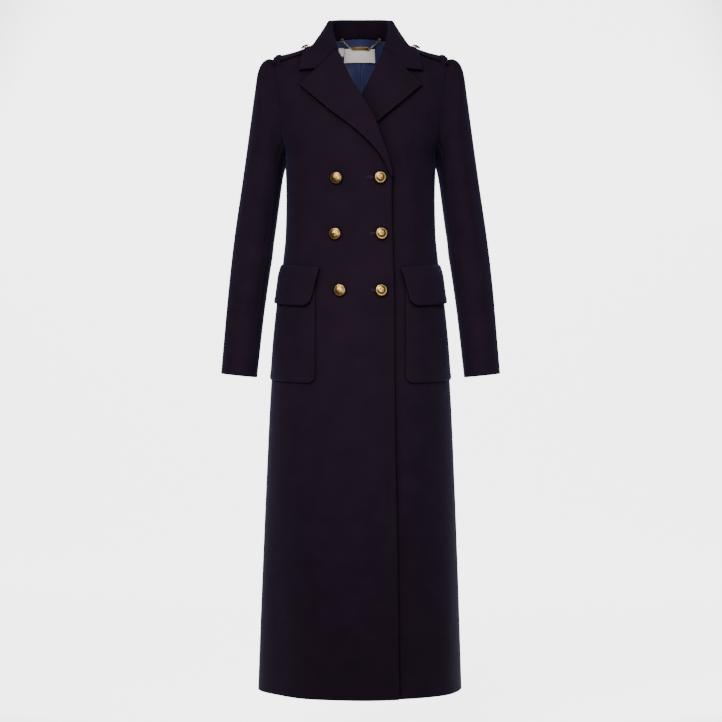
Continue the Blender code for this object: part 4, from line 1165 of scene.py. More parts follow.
collar_grid = lapel_across, stops(COLLAR_STEPS, COLLAR_LENGTH)
collar_edges = (OPEN, EDGE, EDGE, EDGE)
wool_piece("collar", whole_collar, collar_grid, collar_edges, 1, DOUBLED_CLOTH, True)

# %% [markdown]
# ## Sleeves
# Two-piece sleeves, set in with a little rope at the head: the cap leaves the armhole in line with the
# shoulder, rises slightly, and turns down into the arm. A faint seam crosses each sleeve above the wrist.
# Rings alone would make a tube that butts against the body, so the cap is a curve that leaves the armhole
# in the body's own direction.

# %% Sleeve sizes
SleeveRing = namedtuple("SleeveRing", "height centre_x centre_y half_width half_depth")
SLEEVE = [
    SleeveRing(-0.110, 0.1725, 0.000, 0.0388, 0.064),
    SleeveRing(-0.290, 0.1965, 0.000, 0.0394, 0.062),
    SleeveRing(-0.400, 0.2120, 0.004, 0.0402, 0.058),
    SleeveRing(-0.550, 0.2300, -0.004, 0.0376, 0.053),
    SleeveRing(-0.6750, 0.2418, -0.020, 0.0360, 0.048),
]
CUFF_SEAM_HEIGHT, WRIST = -0.550, SLEEVE[-1].height
SLEEVE_RING_SLOPE = 0.105
CAP_PUSH_OVER, CAP_PUSH_UNDER = 0.082, 0.012
CAP_RUN_OVER, CAP_RUN_UNDER = 0.080, 0.050
CAP_END_OVER, CAP_END_UNDER = -0.110, -0.290
CAP_ROPE, CAP_ROPE_REACH, CAP_GAP, CAP_NORMAL_DROP = 0.50, 4, -0.0006, 0.004
ARM_STEP = 0.010
CAP_ROWS, ARM_ROWS = 7, 6
COLUMN_ANGLE = HALF_TURN / (LAST_ROW - ARMPIT_ROW)
TOP_SLEEVE_COLUMNS, UNDER_SLEEVE_COLUMNS, CUFF_COLUMNS = (-8, 8), (8, 14), (-8, 14)
SLEEVE_FOLDS = {
    "left": [
        Fold(118.0, -0.395, -0.0026, 46.0, 0.014, 0.0),
        Fold(140.0, -0.432, 0.0020, 40.0, 0.015, 0.0),
        Fold(96.0, -0.462, -0.0018, 38.0, 0.013, 0.0),
        Fold(48.0, -0.330, -0.0022, 16.0, 0.120, 60.0),
        Fold(20.0, -0.520, 0.0016, 15.0, 0.090, -40.0),
        Fold(-110.0, -0.410, -0.0028, 44.0, 0.016, 0.0),
        Fold(-92.0, -0.452, 0.0020, 36.0, 0.014, 0.0),
    ],
    "right": [
        Fold(124.0, -0.408, -0.0024, 42.0, 0.015, 0.0),
        Fold(104.0, -0.445, 0.0018, 44.0, 0.013, 0.0),
        Fold(58.0, -0.300, -0.0024, 15.0, 0.140, 45.0),
        Fold(30.0, -0.560, 0.0018, 16.0, 0.100, -50.0),
        Fold(-104.0, -0.398, -0.0026, 40.0, 0.014, 0.0),
        Fold(-120.0, -0.436, 0.0022, 42.0, 0.016, 0.0),
    ],
}

sleeve_centre_x = column(SLEEVE, "centre_x", "height")
sleeve_centre_y = column(SLEEVE, "centre_y", "height")
sleeve_half_width = column(SLEEVE, "half_width", "height")
sleeve_half_depth = column(SLEEVE, "half_depth", "height")
print(len(SLEEVE), "rings down the arm")


# %% Sleeve shape
def sleeve_ring(angle, height, folds=()):
    """A point round the sleeve: angle 0 is outward, 90 to the front, 180 towards the body."""
    cosine, sine = math.cos(math.radians(angle)), math.sin(math.radians(angle))
    deep = fold_depth(folds, angle, height)
    out = (sleeve_half_width(height) + deep) * cosine
    forward = (sleeve_half_depth(height) + deep) * sine
    x, y = sleeve_centre_x(height) + out, sleeve_centre_y(height) - forward
    return Vector((x, y, height + out * SLEEVE_RING_SLOPE))


def armhole_frame(angle):
    """A point of the armhole for an angle round the sleeve, and the way the cloth leaves it."""
    turned = turn_between(angle, 0.0)

    def at(turn):
        share = min(abs(turn), WHOLE_TURN - abs(turn)) / HALF_TURN
        front = 0 <= turn <= HALF_TURN or turn < -HALF_TURN
        height = armhole_height(share)
        return (armhole_front if front else armhole_back)(share), height

    body_angle, height = at(turned)
    here = body_point(body_angle, height)
    along = body_point(*at(turned + 1)) - body_point(*at(turned - 1))
    normal = body_normal(body_angle, min(height, SHOULDER_TIP_HEIGHT - CAP_NORMAL_DROP))
    return here, normal.cross(along).normalized(), normal


def over_arm(angle):
    """1 along the top of the sleeve, 0 under the arm."""
    return (1 + math.cos(math.radians(angle))) / 2


def cap_end(angle):
    return mix(CAP_END_UNDER, CAP_END_OVER, over_arm(angle))


def cap_point(angle, share, folds):
    """From the armhole to the arm, leaving in line with the body and arriving in line with the arm."""
    start, leaving, normal = armhole_frame(angle)
    over = over_arm(angle)
    start = start + leaving * CAP_GAP
    leaving = leaving + normal * CAP_ROPE * over ** CAP_ROPE_REACH
    end = sleeve_ring(angle, cap_end(angle), folds)
    arriving = (sleeve_ring(angle, cap_end(angle) - ARM_STEP, folds) - end).normalized()
    push = leaving * mix(CAP_PUSH_UNDER, CAP_PUSH_OVER, over)
    run = arriving * mix(CAP_RUN_UNDER, CAP_RUN_OVER, over)
    t = share
    return (
        start * ((1 + 2 * t) * (1 - t) ** 2)
        + push * (t * (1 - t) ** 2)
        + end * (t * t * (3 - 2 * t))
        - run * (t * t * (1 - t))
    )


def column_angle(columns, across):
    """Angle round the sleeve, half a seam's lap past the first and the last column."""
    lap = math.degrees(SEAM_LAP / 2 / SLEEVE[-1].half_width)
    return mix(columns[0] * COLUMN_ANGLE - lap, columns[1] * COLUMN_ANGLE + lap, across)


def sleeve_piece(columns, folds):
    """Part of a sleeve between two columns: along from the armhole to the cuff seam."""
    cap_share = CAP_ROWS / (CAP_ROWS + ARM_ROWS)

    def shape(across, along):
        angle = column_angle(columns, across)
        if along < cap_share:
            return cap_point(angle, along / cap_share, folds)
        share = (along - cap_share) / (1 - cap_share)
        return sleeve_ring(angle, mix(cap_end(angle), CUFF_SEAM_HEIGHT - SEAM_LAP / 2, share), folds)

    return shape


def cuff_piece(folds):
    def shape(across, along):
        height = mix(CUFF_SEAM_HEIGHT + SEAM_LAP / 2, WRIST, along)
        return sleeve_ring(column_angle(CUFF_COLUMNS, across), height, folds)

    return shape


print("outer wrist:", [round(c, 3) for c in sleeve_ring(0, WRIST)])

# %% Sleeves in cloth
SLEEVE_STEPS, SLEEVE_LENGTH = 72, 0.50
TOP_STEPS, TOP_SPAN, UNDER_STEPS, UNDER_SPAN = 52, 0.22, 20, 0.085
CUFF_STEPS, CUFF_SPAN, CUFF_ROWS, CUFF_LENGTH = 66, 0.28, 12, 0.12
sleeve_along = stops(SLEEVE_STEPS, SLEEVE_LENGTH)
sleeve_parts = (
    ("top", TOP_SLEEVE_COLUMNS, stops(TOP_STEPS, TOP_SPAN)),
    ("under", UNDER_SLEEVE_COLUMNS, stops(UNDER_STEPS, UNDER_SPAN)),
)
cuff_grid = stops(CUFF_STEPS, CUFF_SPAN), stops(CUFF_ROWS, CUFF_LENGTH)
sleeve_edges, cuff_edges = (SEAM, SEAM, SEAM, PRESSED), (SEAM, SEAM, PRESSED, OPEN)
for side, turned, facing in SIDES:
    folds = SLEEVE_FOLDS[side]
    for part, columns, across in sleeve_parts:
        shape, grid = turned(sleeve_piece(columns, folds)), (across, sleeve_along)
        wool_piece(f"sleeve_{side}_{part}", shape, grid, sleeve_edges, facing)
    cuff = turned(cuff_piece(folds))
    wool_piece(f"cuff_{side}", cuff, cuff_grid, cuff_edges, facing)

# %% [markdown]
# ## Pockets and flaps
# Patch pockets with rounded lower corners, under large flaps. The flap is sewn along its top, steps over
# the pocket's edge and stands off a little more towards its lower edge, where its shadow falls. Shrinkwrap
# could press flat patches onto the coat; setting each point at its own lift does the same and keeps the
# corners round.

# %% Pocket shapes
POCKET_INNER_X, POCKET_OUTER_ANGLE = 0.088, 94.0
POCKET_TOP, POCKET_BOTTOM, POCKET_RISE = -0.480, -0.690, 0.008
POCKET_CORNER, POCKET_FULLNESS = 0.013, 0.0022
FLAP_INNER_TOP_X, FLAP_INNER_BOTTOM_X, FLAP_OUTER_ANGLE = 0.078, 0.097, 94.5
FLAP_TOP, FLAP_BOTTOM, FLAP_RISE = -0.462, -0.540, 0.0096
FLAP_CORNER, FLAP_OUTER_CORNER = 0.014, 0.7
FLAP_GAP, FLAP_LIFT, FLAP_STEP = 0.0008, 0.0046, 0.026
POCKET_WIDTH, FLAP_WIDTH = 0.135, 0.135
FLAP_SEWN, FLAP_SEWN_SINK = 0.0040, 0.0012


def rounded_corner(across, up, radius_across, radius_up):
    """How far a square corner's point moves, across and up, to lie in a rounded corner instead."""
    side, foot = max(1 - across / radius_across, 0.0), max(1 - up / radius_up, 0.0)
    in_across = side * (1 - math.sqrt(1 - foot * foot / 2))
    in_up = foot * (1 - math.sqrt(1 - side * side / 2))
    return in_across * radius_across, in_up * radius_up


def rounded_foot(across, along, width, height, inner_radius, outer_radius):
    """Place in a patch, across and up from its lower inner corner, with both lower corners rounded."""
    x, y = across * width, along * height
    inner, inner_up = rounded_corner(x, y, *inner_radius)
    outer, outer_up = rounded_corner(width - x, y, *outer_radius)
    return (x + inner - outer) / width, (y + inner_up + outer_up) / height


def on_side(sinks):
    """Lays a point on the left front, sunk with it under the lap, or on a front without a sink."""

    def placed(angle, height, lift):
        point = body_point(angle, height)
        sink = lap_sink(point.x, height) if sinks else 0.0
        return on_body(angle, height, lift - sink)

    return placed


def pocket_shape(placed, lift):
    corner = (POCKET_CORNER, POCKET_CORNER)

    def shape(across, along):
        fullness = POCKET_FULLNESS * math.sin(math.pi * across) * math.sin(math.pi * along)
        across, up = rounded_foot(across, along, POCKET_WIDTH, POCKET_TOP - POCKET_BOTTOM, corner, corner)
        height = mix(POCKET_BOTTOM, POCKET_TOP, up) + POCKET_RISE * across
        inner = angle_at(POCKET_INNER_X, height)
        return placed(mix(inner, POCKET_OUTER_ANGLE, across), height, lift + fullness)

    return shape


def flap_shape(placed, lift):
    drop = FLAP_TOP - FLAP_BOTTOM
    inner_corner = (FLAP_CORNER, FLAP_CORNER)
    outer_corner = (FLAP_CORNER * FLAP_OUTER_CORNER, FLAP_CORNER)

    def shape(across, along):
        across, up = rounded_foot(across, along, FLAP_WIDTH, drop, inner_corner, outer_corner)
        hang = 1 - up
        height = mix(FLAP_BOTTOM, FLAP_TOP, up) + FLAP_RISE * across
        inner = angle_at(mix(FLAP_INNER_TOP_X, FLAP_INNER_BOTTOM_X, hang), height)
        over_pocket = CLOTH + 2 * LAYER_GAP
        step = over_pocket * ease(hang * drop / FLAP_STEP)
        sewn = FLAP_SEWN_SINK * (1 - ease(hang * drop / FLAP_SEWN))
        stand_off = step + (FLAP_LIFT - over_pocket) * hang - sewn
        return placed(mix(inner, FLAP_OUTER_ANGLE, across), height, lift + stand_off)

    return shape


print("pocket depth", round(POCKET_TOP - POCKET_BOTTOM, 3), "m, flap", round(FLAP_TOP - FLAP_BOTTOM, 3), "m")

# %% Pockets in cloth
POCKET_STEPS, POCKET_SPAN = 36, 0.13
POCKET_ROWS, POCKET_LENGTH, FLAP_ROWS, FLAP_LENGTH = 44, 0.21, 24, 0.078
pocket_grid = stops(POCKET_STEPS, POCKET_SPAN), stops(POCKET_ROWS, POCKET_LENGTH)
flap_grid = stops(POCKET_STEPS, POCKET_SPAN), stops(FLAP_ROWS, FLAP_LENGTH)
patch_edges = (EDGE, EDGE, EDGE, SEAM)
for side, turned, facing in SIDES:
    placed = on_side(side == "left")
    pocket = draped(turned(pocket_shape(placed, LAYER_GAP + CLOTH)))
    flap = draped(turned(flap_shape(placed, FLAP_GAP + DOUBLED_CLOTH)))
    wool_piece(f"pocket_{side}", pocket, pocket_grid, patch_edges, facing)
    wool_piece(f"flap_{side}", flap, flap_grid, patch_edges, facing, DOUBLED_CLOTH)

# %% [markdown]
# ## Shoulder straps
# Each strap runs from the sleeve to a point near the collar, passes under a narrow loop and is held by a
# button. Both follow the shoulder's own curve, moved out by their thickness, because straight bands would
# stand off at their ends.

# %% Straps and loops
STRAP_SLEEVE_END, STRAP_TIP, STRAP_POINT, POINT_BEND = 0.1735, 0.0985, 0.014, 1.6
STRAP_WIDTH_AT_SLEEVE, STRAP_WIDTH_AT_TIP = 0.046, 0.038
STRAP_TIP_Y, STRAP_SLEEVE_Y = -0.012, -0.003
STRAP_CLOTH, LOOP_CLOTH = 0.0030, 0.0016
LOOP_CENTRE_X, LOOP_WIDTH, LOOP_OVERHANG = 0.163, 0.010, 0.0048
LOOP_RISE_FOOT, LOOP_RISE_RUN = 0.75, 0.6
STRAP_STEPS, STRAP_SPAN, STRAP_ROWS, STRAP_LENGTH = 20, 0.043, 24, 0.075
LOOP_STEPS, LOOP_ROWS = 6, 40
STRAP_BUTTON_X = 0.1085
strap_top_lift, loop_top_lift = LAYER_GAP + STRAP_CLOTH, LAYER_GAP + LOOP_CLOTH


def strap_share(across):
    return (across - STRAP_TIP) / (STRAP_SLEEVE_END - STRAP_TIP)


def strap_width(across):
    return mix(STRAP_WIDTH_AT_TIP, STRAP_WIDTH_AT_SLEEVE, strap_share(across))


def strap_centre(across):
    """Depth of the strap's middle line, which slants a little back towards the sleeve."""
    return mix(STRAP_TIP_Y, STRAP_SLEEVE_Y, strap_share(across))


def strap_shape(across, along):
    """Across the strap's width from back to front, along it from the sleeve to the pointed end."""
    sideways = 2 * across - 1
    x = mix(STRAP_SLEEVE_END, STRAP_TIP + STRAP_POINT * abs(sideways) ** POINT_BEND, along)
    return on_shoulder(x, strap_centre(x) - strap_width(x) / 2 * sideways, strap_top_lift)


def loop_shape(across, along):
    """A narrow band over the strap, down to the coat on both sides of it."""
    half = strap_width(LOOP_CENTRE_X) / 2
    y = mix(-1, 1, along) * (half + LOOP_OVERHANG)
    raised = ease((half + LOOP_OVERHANG * LOOP_RISE_FOOT - abs(y)) / (LOOP_OVERHANG * LOOP_RISE_RUN))
    x = LOOP_CENTRE_X + (across - 0.5) * LOOP_WIDTH
    return on_shoulder(x, strap_centre(x) - y, loop_top_lift + (STRAP_CLOTH + LAYER_GAP) * raised)


strap_grid = stops(STRAP_STEPS, STRAP_SPAN), stops(STRAP_ROWS, STRAP_LENGTH)
loop_grid = even_stops(LOOP_STEPS), even_stops(LOOP_ROWS)
strap_edges, loop_edges = (EDGE, EDGE, SEAM, EDGE), (OPEN, OPEN, SEAM, SEAM)
for side, turned, facing in SIDES:
    strap, loop = turned(strap_shape), turned(loop_shape)
    wool_piece(f"epaulette_{side}", strap, strap_grid, strap_edges, -facing, STRAP_CLOTH)
    wool_piece(f"loop_{side}", loop, loop_grid, loop_edges, -facing, LOOP_CLOTH)

# %% [markdown]
# ## Buttons
# A stamped brass shell on a shank, with a plain rosette: eight petals round a boss, inside a corded rim.
# A bump map could fake the die's relief, but rim and boss catch the light, so a grid wrapped round the
# axis carries them as real shape. How far each point stands proud is kept on the mesh, so that the tarnish
# can settle in the hollows.

# %% Button shape
BUTTON_RADIUS, STRAP_BUTTON_RADIUS = 0.0116, 0.0088
BUTTON_TURNS = 96
PETALS, PETAL_BEND, PETAL_HEIGHT, PETAL_MIDDLE, PETAL_REACH = 8, 0.7, 0.048, 0.3844, 0.17
VEIN_DEPTH, VEIN_WIDTH, VEIN_MIDDLE, VEIN_REACH = 0.020, 0.06, 0.372, 0.14
CORDS, CORD_SLANT, CORD_HEIGHT, CORD_SWING = 40, 14, 0.038, 0.014
RIM_MIDDLE, RIM_WIDTH = 0.88, 0.07
BOSS_HEIGHT, BOSS_REACH = 0.048, 0.17
GROOVE_DEPTH, GROOVE_MIDDLE, GROOVE_WIDTH = 0.022, 0.74, 0.035
DOME_EDGE, DOME_FOOT, DOME_RISE, DOME_BEND = 0.975, 0.34, 0.30, 0.8
PROUD_LEVEL, PROUD_GAIN, PROUD_BACK = 0.36, 12.0, 0.3
ProfilePoint = namedtuple("ProfilePoint", "radius height")
BUTTON_BACK = [
    ProfilePoint(0.000, 0.000),
    ProfilePoint(0.190, 0.000),
    ProfilePoint(0.190, 0.160),
    ProfilePoint(0.920, 0.180),
    ProfilePoint(0.985, 0.205),
    ProfilePoint(1.000, 0.255),
    ProfilePoint(0.990, 0.300),
]
DOME_RINGS = 26


def bell(value, middle, width):
    return math.exp(-(((value - middle) / width) ** 2))


def button_relief(radius, turn):
    """How far the die lifts the dome's face, in shares of the button's radius."""
    twist = CORD_HEIGHT + CORD_SWING * math.sin(CORDS * turn + CORD_SLANT * radius)
    cord = bell(radius, RIM_MIDDLE, RIM_WIDTH) * twist
    petal = abs(math.cos(PETALS / 2 * turn)) ** PETAL_BEND
    rosette = PETAL_HEIGHT * petal * bell(radius, PETAL_MIDDLE, PETAL_REACH)
    vein = -VEIN_DEPTH * bell(petal, 1.0, VEIN_WIDTH) * bell(radius, VEIN_MIDDLE, VEIN_REACH)
    boss = BOSS_HEIGHT * bell(radius, 0.0, BOSS_REACH)
    groove = -GROOVE_DEPTH * bell(radius, GROOVE_MIDDLE, GROOVE_WIDTH)
    return cord + rosette + vein + boss + groove


def button(name, node, place, normal, radius):
    rings = [(point.radius, point.height, False) for point in BUTTON_BACK]
    for i in range(DOME_RINGS + 1):
        share = DOME_EDGE * (1 - i / DOME_RINGS)
        rings.append((share, DOME_FOOT + DOME_RISE * (1 - (share / DOME_EDGE) ** 2) ** DOME_BEND, True))
    bm = bmesh.new()
    bmesh.ops.create_grid(bm, x_segments=BUTTON_TURNS, y_segments=len(rings) - 1, size=0.5)
    proud = bm.verts.layers.float.new(RELIEF)
    for vert in bm.verts:
        turn = (vert.co.x + 0.5) * 2 * math.pi
        share, height, on_dome = rings[round((vert.co.y + 0.5) * (len(rings) - 1))]
        lift = button_relief(share, turn) if on_dome else 0.0
        vert[proud] = PROUD_LEVEL + lift * PROUD_GAIN if on_dome else PROUD_BACK
        out = share * radius
        vert.co = (out * math.cos(turn), out * math.sin(turn), (height + lift) * radius)
    bmesh.ops.remove_doubles(bm, verts=bm.verts[:], dist=radius * 0.001)
    bmesh.ops.recalc_face_normals(bm, faces=bm.faces[:])
    made = smooth_object(name, bm, button_brass)
    turned = normal.to_track_quat("Z", "Y").to_matrix().to_4x4()
    made.data.transform(Matrix.Translation(place) @ turned)
    return dress(made, node)


print(DOME_RINGS, "rings over a button's dome")

# %% Buttons in place
ButtonPlace = namedtuple("ButtonPlace", "name across height")
FRONT_BUTTONS = [
    ButtonPlace("button_edge_top", 0.0375, -0.290),
    ButtonPlace("button_edge_middle", 0.0400, -0.3985),
    ButtonPlace("button_edge_bottom", 0.0394, -0.509),
    ButtonPlace("button_inner_top", -0.0466, -0.291),
    ButtonPlace("button_inner_middle", -0.0489, -0.399),
    ButtonPlace("button_inner_bottom", -0.0400, -0.509),
]
on_coat_front = draped(on_front)
for item in FRONT_BUTTONS:
    foot = on_coat_front(item.across, item.height, LAYER_GAP)
    normal = front_normal(item.across, item.height)
    button(item.name + "_rosette", item.name, foot, normal, BUTTON_RADIUS)
foot = on_shoulder(STRAP_BUTTON_X, strap_centre(STRAP_BUTTON_X), strap_top_lift + LAYER_GAP)
normal = foot - on_shoulder(STRAP_BUTTON_X, strap_centre(STRAP_BUTTON_X), 0.0)
for side, _, sign in SIDES:
    flip = Vector((sign, 1, 1))
    name = f"button_strap_{side}"
    button(name + "_rosette", name, foot * flip, normal * flip, STRAP_BUTTON_RADIUS)
print(len(FRONT_BUTTONS) + 2, "buttons")

# %% [markdown]
# ## Sewing that shows
# The buttonholes of the closing row run level, out from under the buttons towards the wearer's right. Each
# is a slit between two close rows of stitches. A stitch is a small stretched ball laid along its
# direction on the cloth; all those of one buttonhole are joined into one mesh.

# %% Stitches
Buttonhole = namedtuple("Buttonhole", "button left right")
BUTTONHOLES = [
    Buttonhole("button_edge_top", 0.0130, 0.0400),
    Buttonhole("button_edge_middle", 0.0195, 0.0425),
    Buttonhole("button_edge_bottom", 0.0210, 0.0420),
]
STITCH_PITCH, STITCH_HALF_LENGTH, STITCH_HALF_WIDTH = 0.0011, 0.0011, 0.00055
STITCH_FLATNESS, STITCH_SEAT = 0.8, 0.4
LIP_OFFSET, END_TURNS = 0.0013, (-45, 0, 45)


def stitch_mesh(name, stitches, material):
    """One mesh of many stitches, each given as its place, its direction and the cloth's normal there."""
    bm = bmesh.new()
    for place, direction, normal in stitches:
        long, up = direction.normalized(), normal.normalized()
        across = up.cross(long)
        frame_of_stitch = Matrix((long, across, up)).transposed().to_4x4()
        half_height = STITCH_HALF_WIDTH * STITCH_FLATNESS
        size = Matrix.Diagonal((STITCH_HALF_LENGTH, STITCH_HALF_WIDTH, half_height, 1.0))
        matrix = Matrix.Translation(place) @ frame_of_stitch @ size
        bmesh.ops.create_icosphere(bm, subdivisions=2, radius=1.0, matrix=matrix)
    made = smooth_object(name, bm, material)
    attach(made, "root")
    return made


def buttonhole_stitches(hole, height):
    """Two rows of upright stitches along the slit, and one fan of them at its end."""
    stitches = []
    seat = STITCH_HALF_WIDTH * STITCH_SEAT
    count = round((hole.right - hole.left) / STITCH_PITCH)
    for i in range(count + 1):
        across = mix(hole.left, hole.right, i / count)
        normal = front_normal(across, height)
        for side in (-1, 1):
            place = on_coat_front(across, height + side * LIP_OFFSET, seat)
            stitches.append((place, UP - normal * normal.z, normal))
    normal = front_normal(hole.left, height)
    level = UP.cross(normal)
    for turned in END_TURNS:
        tilt = math.radians(turned)
        place = on_coat_front(hole.left - STITCH_PITCH, height + LIP_OFFSET * math.sin(tilt), seat)
        stitches.append((place, level * math.cos(tilt) - UP * math.sin(tilt), normal))
    return stitches


heights = {item.name: item.height for item in FRONT_BUTTONS}
for hole in BUTTONHOLES:
    stitches = buttonhole_stitches(hole, heights[hole.button])
    made = stitch_mesh(hole.button.replace("button", "buttonhole"), stitches, coat_thread)
    print(made.name, len(made.data.polygons), "faces")

# %% [markdown]
# ## Inside the back neck
# Under the collar's stand lies the top of the satin lining, with a pleat down the middle that lets the
# back stretch. It is the back's own shape moved inwards, so the two can't cut each other. On it hang a
# bare label, a small tab beside it and a hanger: two rings, two short chains and a narrow plate.

# %% Lining
LINING_TOP_ROW = LAST_ROW - 1
PLEAT_LIP, PLEAT_LIP_UNDER_LABEL, PLEAT_RUN, PLEAT_SLIT = 0.0030, 0.0010, 0.016, 0.0011
PLEAT_X, PLEAT_BEHIND_LABEL, PLEAT_BELOW_LABEL = 0.0008, -0.0360, -0.0480
PLEAT_COLUMNS, PLEAT_COLUMN_STEP = 24, 0.0012
LINING_STEPS, LINING_SPAN, LINING_ROWS, LINING_LENGTH = 60, 0.42, 40, 0.26
BARE_EDGES = (OPEN,) * 4
lining_inner = -(CLOTH + LAYER_GAP) - LINING_CLOTH
label_outer = lining_inner - HANGING_GAP


def on_back(across, height, lift):
    """A point on the back, at a distance from the centre."""
    return on_body(HALF_TURN - angle_at(across, height), height, lift)


def back_normal(across, height):
    return body_normal(HALF_TURN - angle_at(across, height), height)


def lining_shape(across, along):
    """The upper back's own shape, a column in from its seams, with a pleat down centre back."""
    margin = 1 / BACK_COLUMNS
    row = mix(ARMPIT_ROW, LINING_TOP_ROW, along)
    place = whole_back(mix(margin, 1 - margin, across), row / LAST_ROW)
    height = place.z
    aside = abs(place.x - PLEAT_X)
    below = ease((height - PLEAT_BEHIND_LABEL) / (PLEAT_BELOW_LABEL - PLEAT_BEHIND_LABEL))
    lip = mix(PLEAT_LIP_UNDER_LABEL, PLEAT_LIP, below)
    pleat = lip * (1 - ease(aside / PLEAT_RUN)) * ease((aside - PLEAT_SLIT / 2) / PLEAT_SLIT)
    return place + back_normal(place.x, height) * (lining_inner - pleat)


pleat_across = [0.5 + i * PLEAT_COLUMN_STEP for i in range(-PLEAT_COLUMNS, PLEAT_COLUMNS + 1)]
lining_across = sorted(set(stops(LINING_STEPS, LINING_SPAN) + pleat_across))
lining_grid = lining_across, stops(LINING_ROWS, LINING_LENGTH)
piece = cloth("lining_back_satin", lining_shape, *lining_grid, LINING_CLOTH, -1, BARE_EDGES, satin)
dress_sheet(piece, "lining_back")

# %% Labels
LABEL_LEFT, LABEL_RIGHT, LABEL_TOP, LABEL_BOTTOM = -0.0355, 0.0310, -0.0080, -0.0352
SIZE_LABEL_LEFT, SIZE_LABEL_RIGHT, SIZE_LABEL_TOP, SIZE_LABEL_BOTTOM = -0.0480, -0.0365, -0.0072, -0.0220
LABEL_STEPS, LABEL_SPAN, LABEL_ROWS, LABEL_LENGTH = 24, 0.0665, 10, 0.028
SMALL_STEPS = 10


def patch(left, right, bottom, top, lift):
    def shape(across, along):
        return on_back(mix(left, right, across), mix(bottom, top, along), lift)

    return shape


label_face = label_outer - LABEL_CLOTH
label = patch(LABEL_LEFT, LABEL_RIGHT, LABEL_BOTTOM, LABEL_TOP, label_face)
label_grid = stops(LABEL_STEPS, LABEL_SPAN), stops(LABEL_ROWS, LABEL_LENGTH)
piece = cloth("neck_label_tape", label, *label_grid, LABEL_CLOTH, 1, BARE_EDGES, woven)
dress_sheet(piece, "neck_label")
size_label = patch(SIZE_LABEL_LEFT, SIZE_LABEL_RIGHT, SIZE_LABEL_BOTTOM, SIZE_LABEL_TOP, label_face)
small = even_stops(SMALL_STEPS)
piece = cloth("size_label_tape", size_label, small, small, LABEL_CLOTH, 1, BARE_EDGES, woven)
dress_sheet(piece, "size_label")

# %% Label stitches
LABEL_STITCHES, LABEL_MARGIN, STITCH_STAND = 10, 0.0022, 0.0001
label_stitches = []
for across in (LABEL_LEFT + LABEL_MARGIN, LABEL_RIGHT - LABEL_MARGIN):
    for i in range(LABEL_STITCHES):
        height = mix(LABEL_BOTTOM + LABEL_MARGIN, LABEL_TOP - LABEL_MARGIN, i / (LABEL_STITCHES - 1))
        place = on_back(across, height, label_face - STITCH_STAND)
        normal = -back_normal(across, height)
        label_stitches.append((place, UP - normal * normal.z, normal))
made = stitch_mesh("neck_label_stitches", label_stitches, label_thread)
print(len(label_stitches), "stitches on the label")

# %% [markdown]
# The chain is a row of oval links, each turned a quarter round from the one before. A curve object with a
# round bevel makes wire, and one closed spline is one link.

# %% Hanger
RING_X, RING_HEIGHT, RING_RADIUS, RING_WIRE, RING_STAND_OFF = 0.041, 0.0080, 0.0032, 0.0006, 0.0019
PLATE_HALF_LENGTH, PLATE_HEIGHT, PLATE_THICKNESS, PLATE_CENTRE_HEIGHT = 0.019, 0.0056, 0.0014, -0.0065
CHAIN_WIRE, CHAIN_SAG = 0.0011, 0.0015
LINK_HALF_LENGTH, LINK_HALF_WIDTH, LINK_WIRE, LINK_PITCH = 0.0021, 0.0013, 0.00042, 0.0029
LINK_POINTS, RING_POINTS, PLATE_STEPS = 16, 36, 24
LINK_LEAN, LINK_LOOK, WIRE_ROUNDNESS = 45, 0.02, 3
ring_lift = lining_inner - RING_STAND_OFF
plate_lift = label_outer - LABEL_CLOTH - HANGING_GAP


def wire_loops(name, loops, radius, material):
    """One curve object of closed wires, each given by its points."""
    curve = bpy.data.curves.new(name, "CURVE")
    curve.dimensions = "3D"
    curve.bevel_depth = radius
    curve.bevel_resolution = WIRE_ROUNDNESS
    for points in loops:
        spline = curve.splines.new("POLY")
        spline.points.add(len(points) - 1)
        spline.use_cyclic_u = True
        for knot, point in zip(spline.points, points):
            knot.co = (*point, 1.0)
    return place_in_scene(name, curve, material)


def oval(centre, long, wide, half_length, half_width, count):
    turns = [2 * math.pi * i / count for i in range(count)]
    return [centre + long * (half_length * math.cos(t)) + wide * (half_width * math.sin(t)) for t in turns]


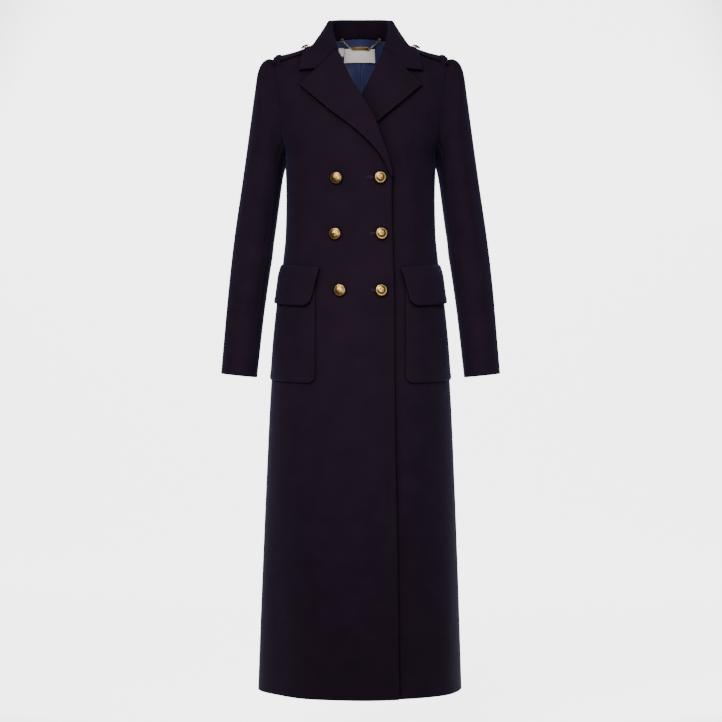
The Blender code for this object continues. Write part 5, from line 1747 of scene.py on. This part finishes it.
def chain_point(share):
    """From beside the ring down to the plate's end, hanging in a slight curve."""
    ring_place, plate_end = Vector((RING_X, RING_HEIGHT)), Vector((PLATE_HALF_LENGTH, PLATE_CENTRE_HEIGHT))
    towards = (plate_end - ring_place).normalized()
    begin = ring_place + towards * (RING_RADIUS + RING_WIRE + SEAM_GAP)
    end = plate_end + Vector((SEAM_GAP + CHAIN_WIRE * abs(towards.y), 0.0))
    place = begin.lerp(end, share) - Vector((0.0, CHAIN_SAG * 4 * share * (1 - share)))
    return on_back(place.x, place.y, mix(ring_lift, plate_lift, share))


def chain_links():
    """Oval links from the ring to the plate, each a quarter turn round from the last."""
    span = (chain_point(1.0) - chain_point(0.0)).length
    count = round(span / LINK_PITCH)
    links = []
    for i in range(count):
        share = (i + 0.5) / count
        before, after = max(share - LINK_LOOK, 0.0), min(share + LINK_LOOK, 1.0)
        long = (chain_point(after) - chain_point(before)).normalized()
        flat = Vector((0, -1, 0)).cross(long).normalized()
        lean = math.radians(LINK_LEAN if i % 2 else -LINK_LEAN)
        wide = flat * math.cos(lean) + long.cross(flat) * math.sin(lean)
        links.append(oval(chain_point(share), long, wide, LINK_HALF_LENGTH, LINK_HALF_WIDTH, LINK_POINTS))
    return links


ring_place = on_back(RING_X, RING_HEIGHT, ring_lift)
ring_normal = back_normal(RING_X, RING_HEIGHT)
ring_across = UP.cross(ring_normal).normalized()
ring_up = ring_normal.cross(ring_across)
ring_points = oval(ring_place, ring_across, ring_up, RING_RADIUS, RING_RADIUS, RING_POINTS)
for side, _, sign in SIDES:
    flip = Vector((sign, 1, 1))
    ring = [point * flip for point in ring_points]
    made = wire_loops(f"hanger_ring_{side}_wire", [ring], RING_WIRE, chain_brass)
    dress(made, f"hanger_ring_{side}")
    links = [[point * flip for point in link] for link in chain_links()]
    made = wire_loops(f"hanger_chain_{side}_links", links, LINK_WIRE, chain_brass)
    dress(made, f"hanger_chain_{side}")
foot = PLATE_CENTRE_HEIGHT - PLATE_HEIGHT / 2
face = plate_lift - PLATE_THICKNESS / 2
plate = patch(-PLATE_HALF_LENGTH, PLATE_HALF_LENGTH, foot, foot + PLATE_HEIGHT, face)
plate_grid = even_stops(PLATE_STEPS), small
piece = cloth("hanger_plate_bar", plate, *plate_grid, PLATE_THICKNESS, 1, BARE_EDGES, plate_brass)
dress(piece, "hanger_plate")
print("hanger:", len(chain_links()), "links a side")
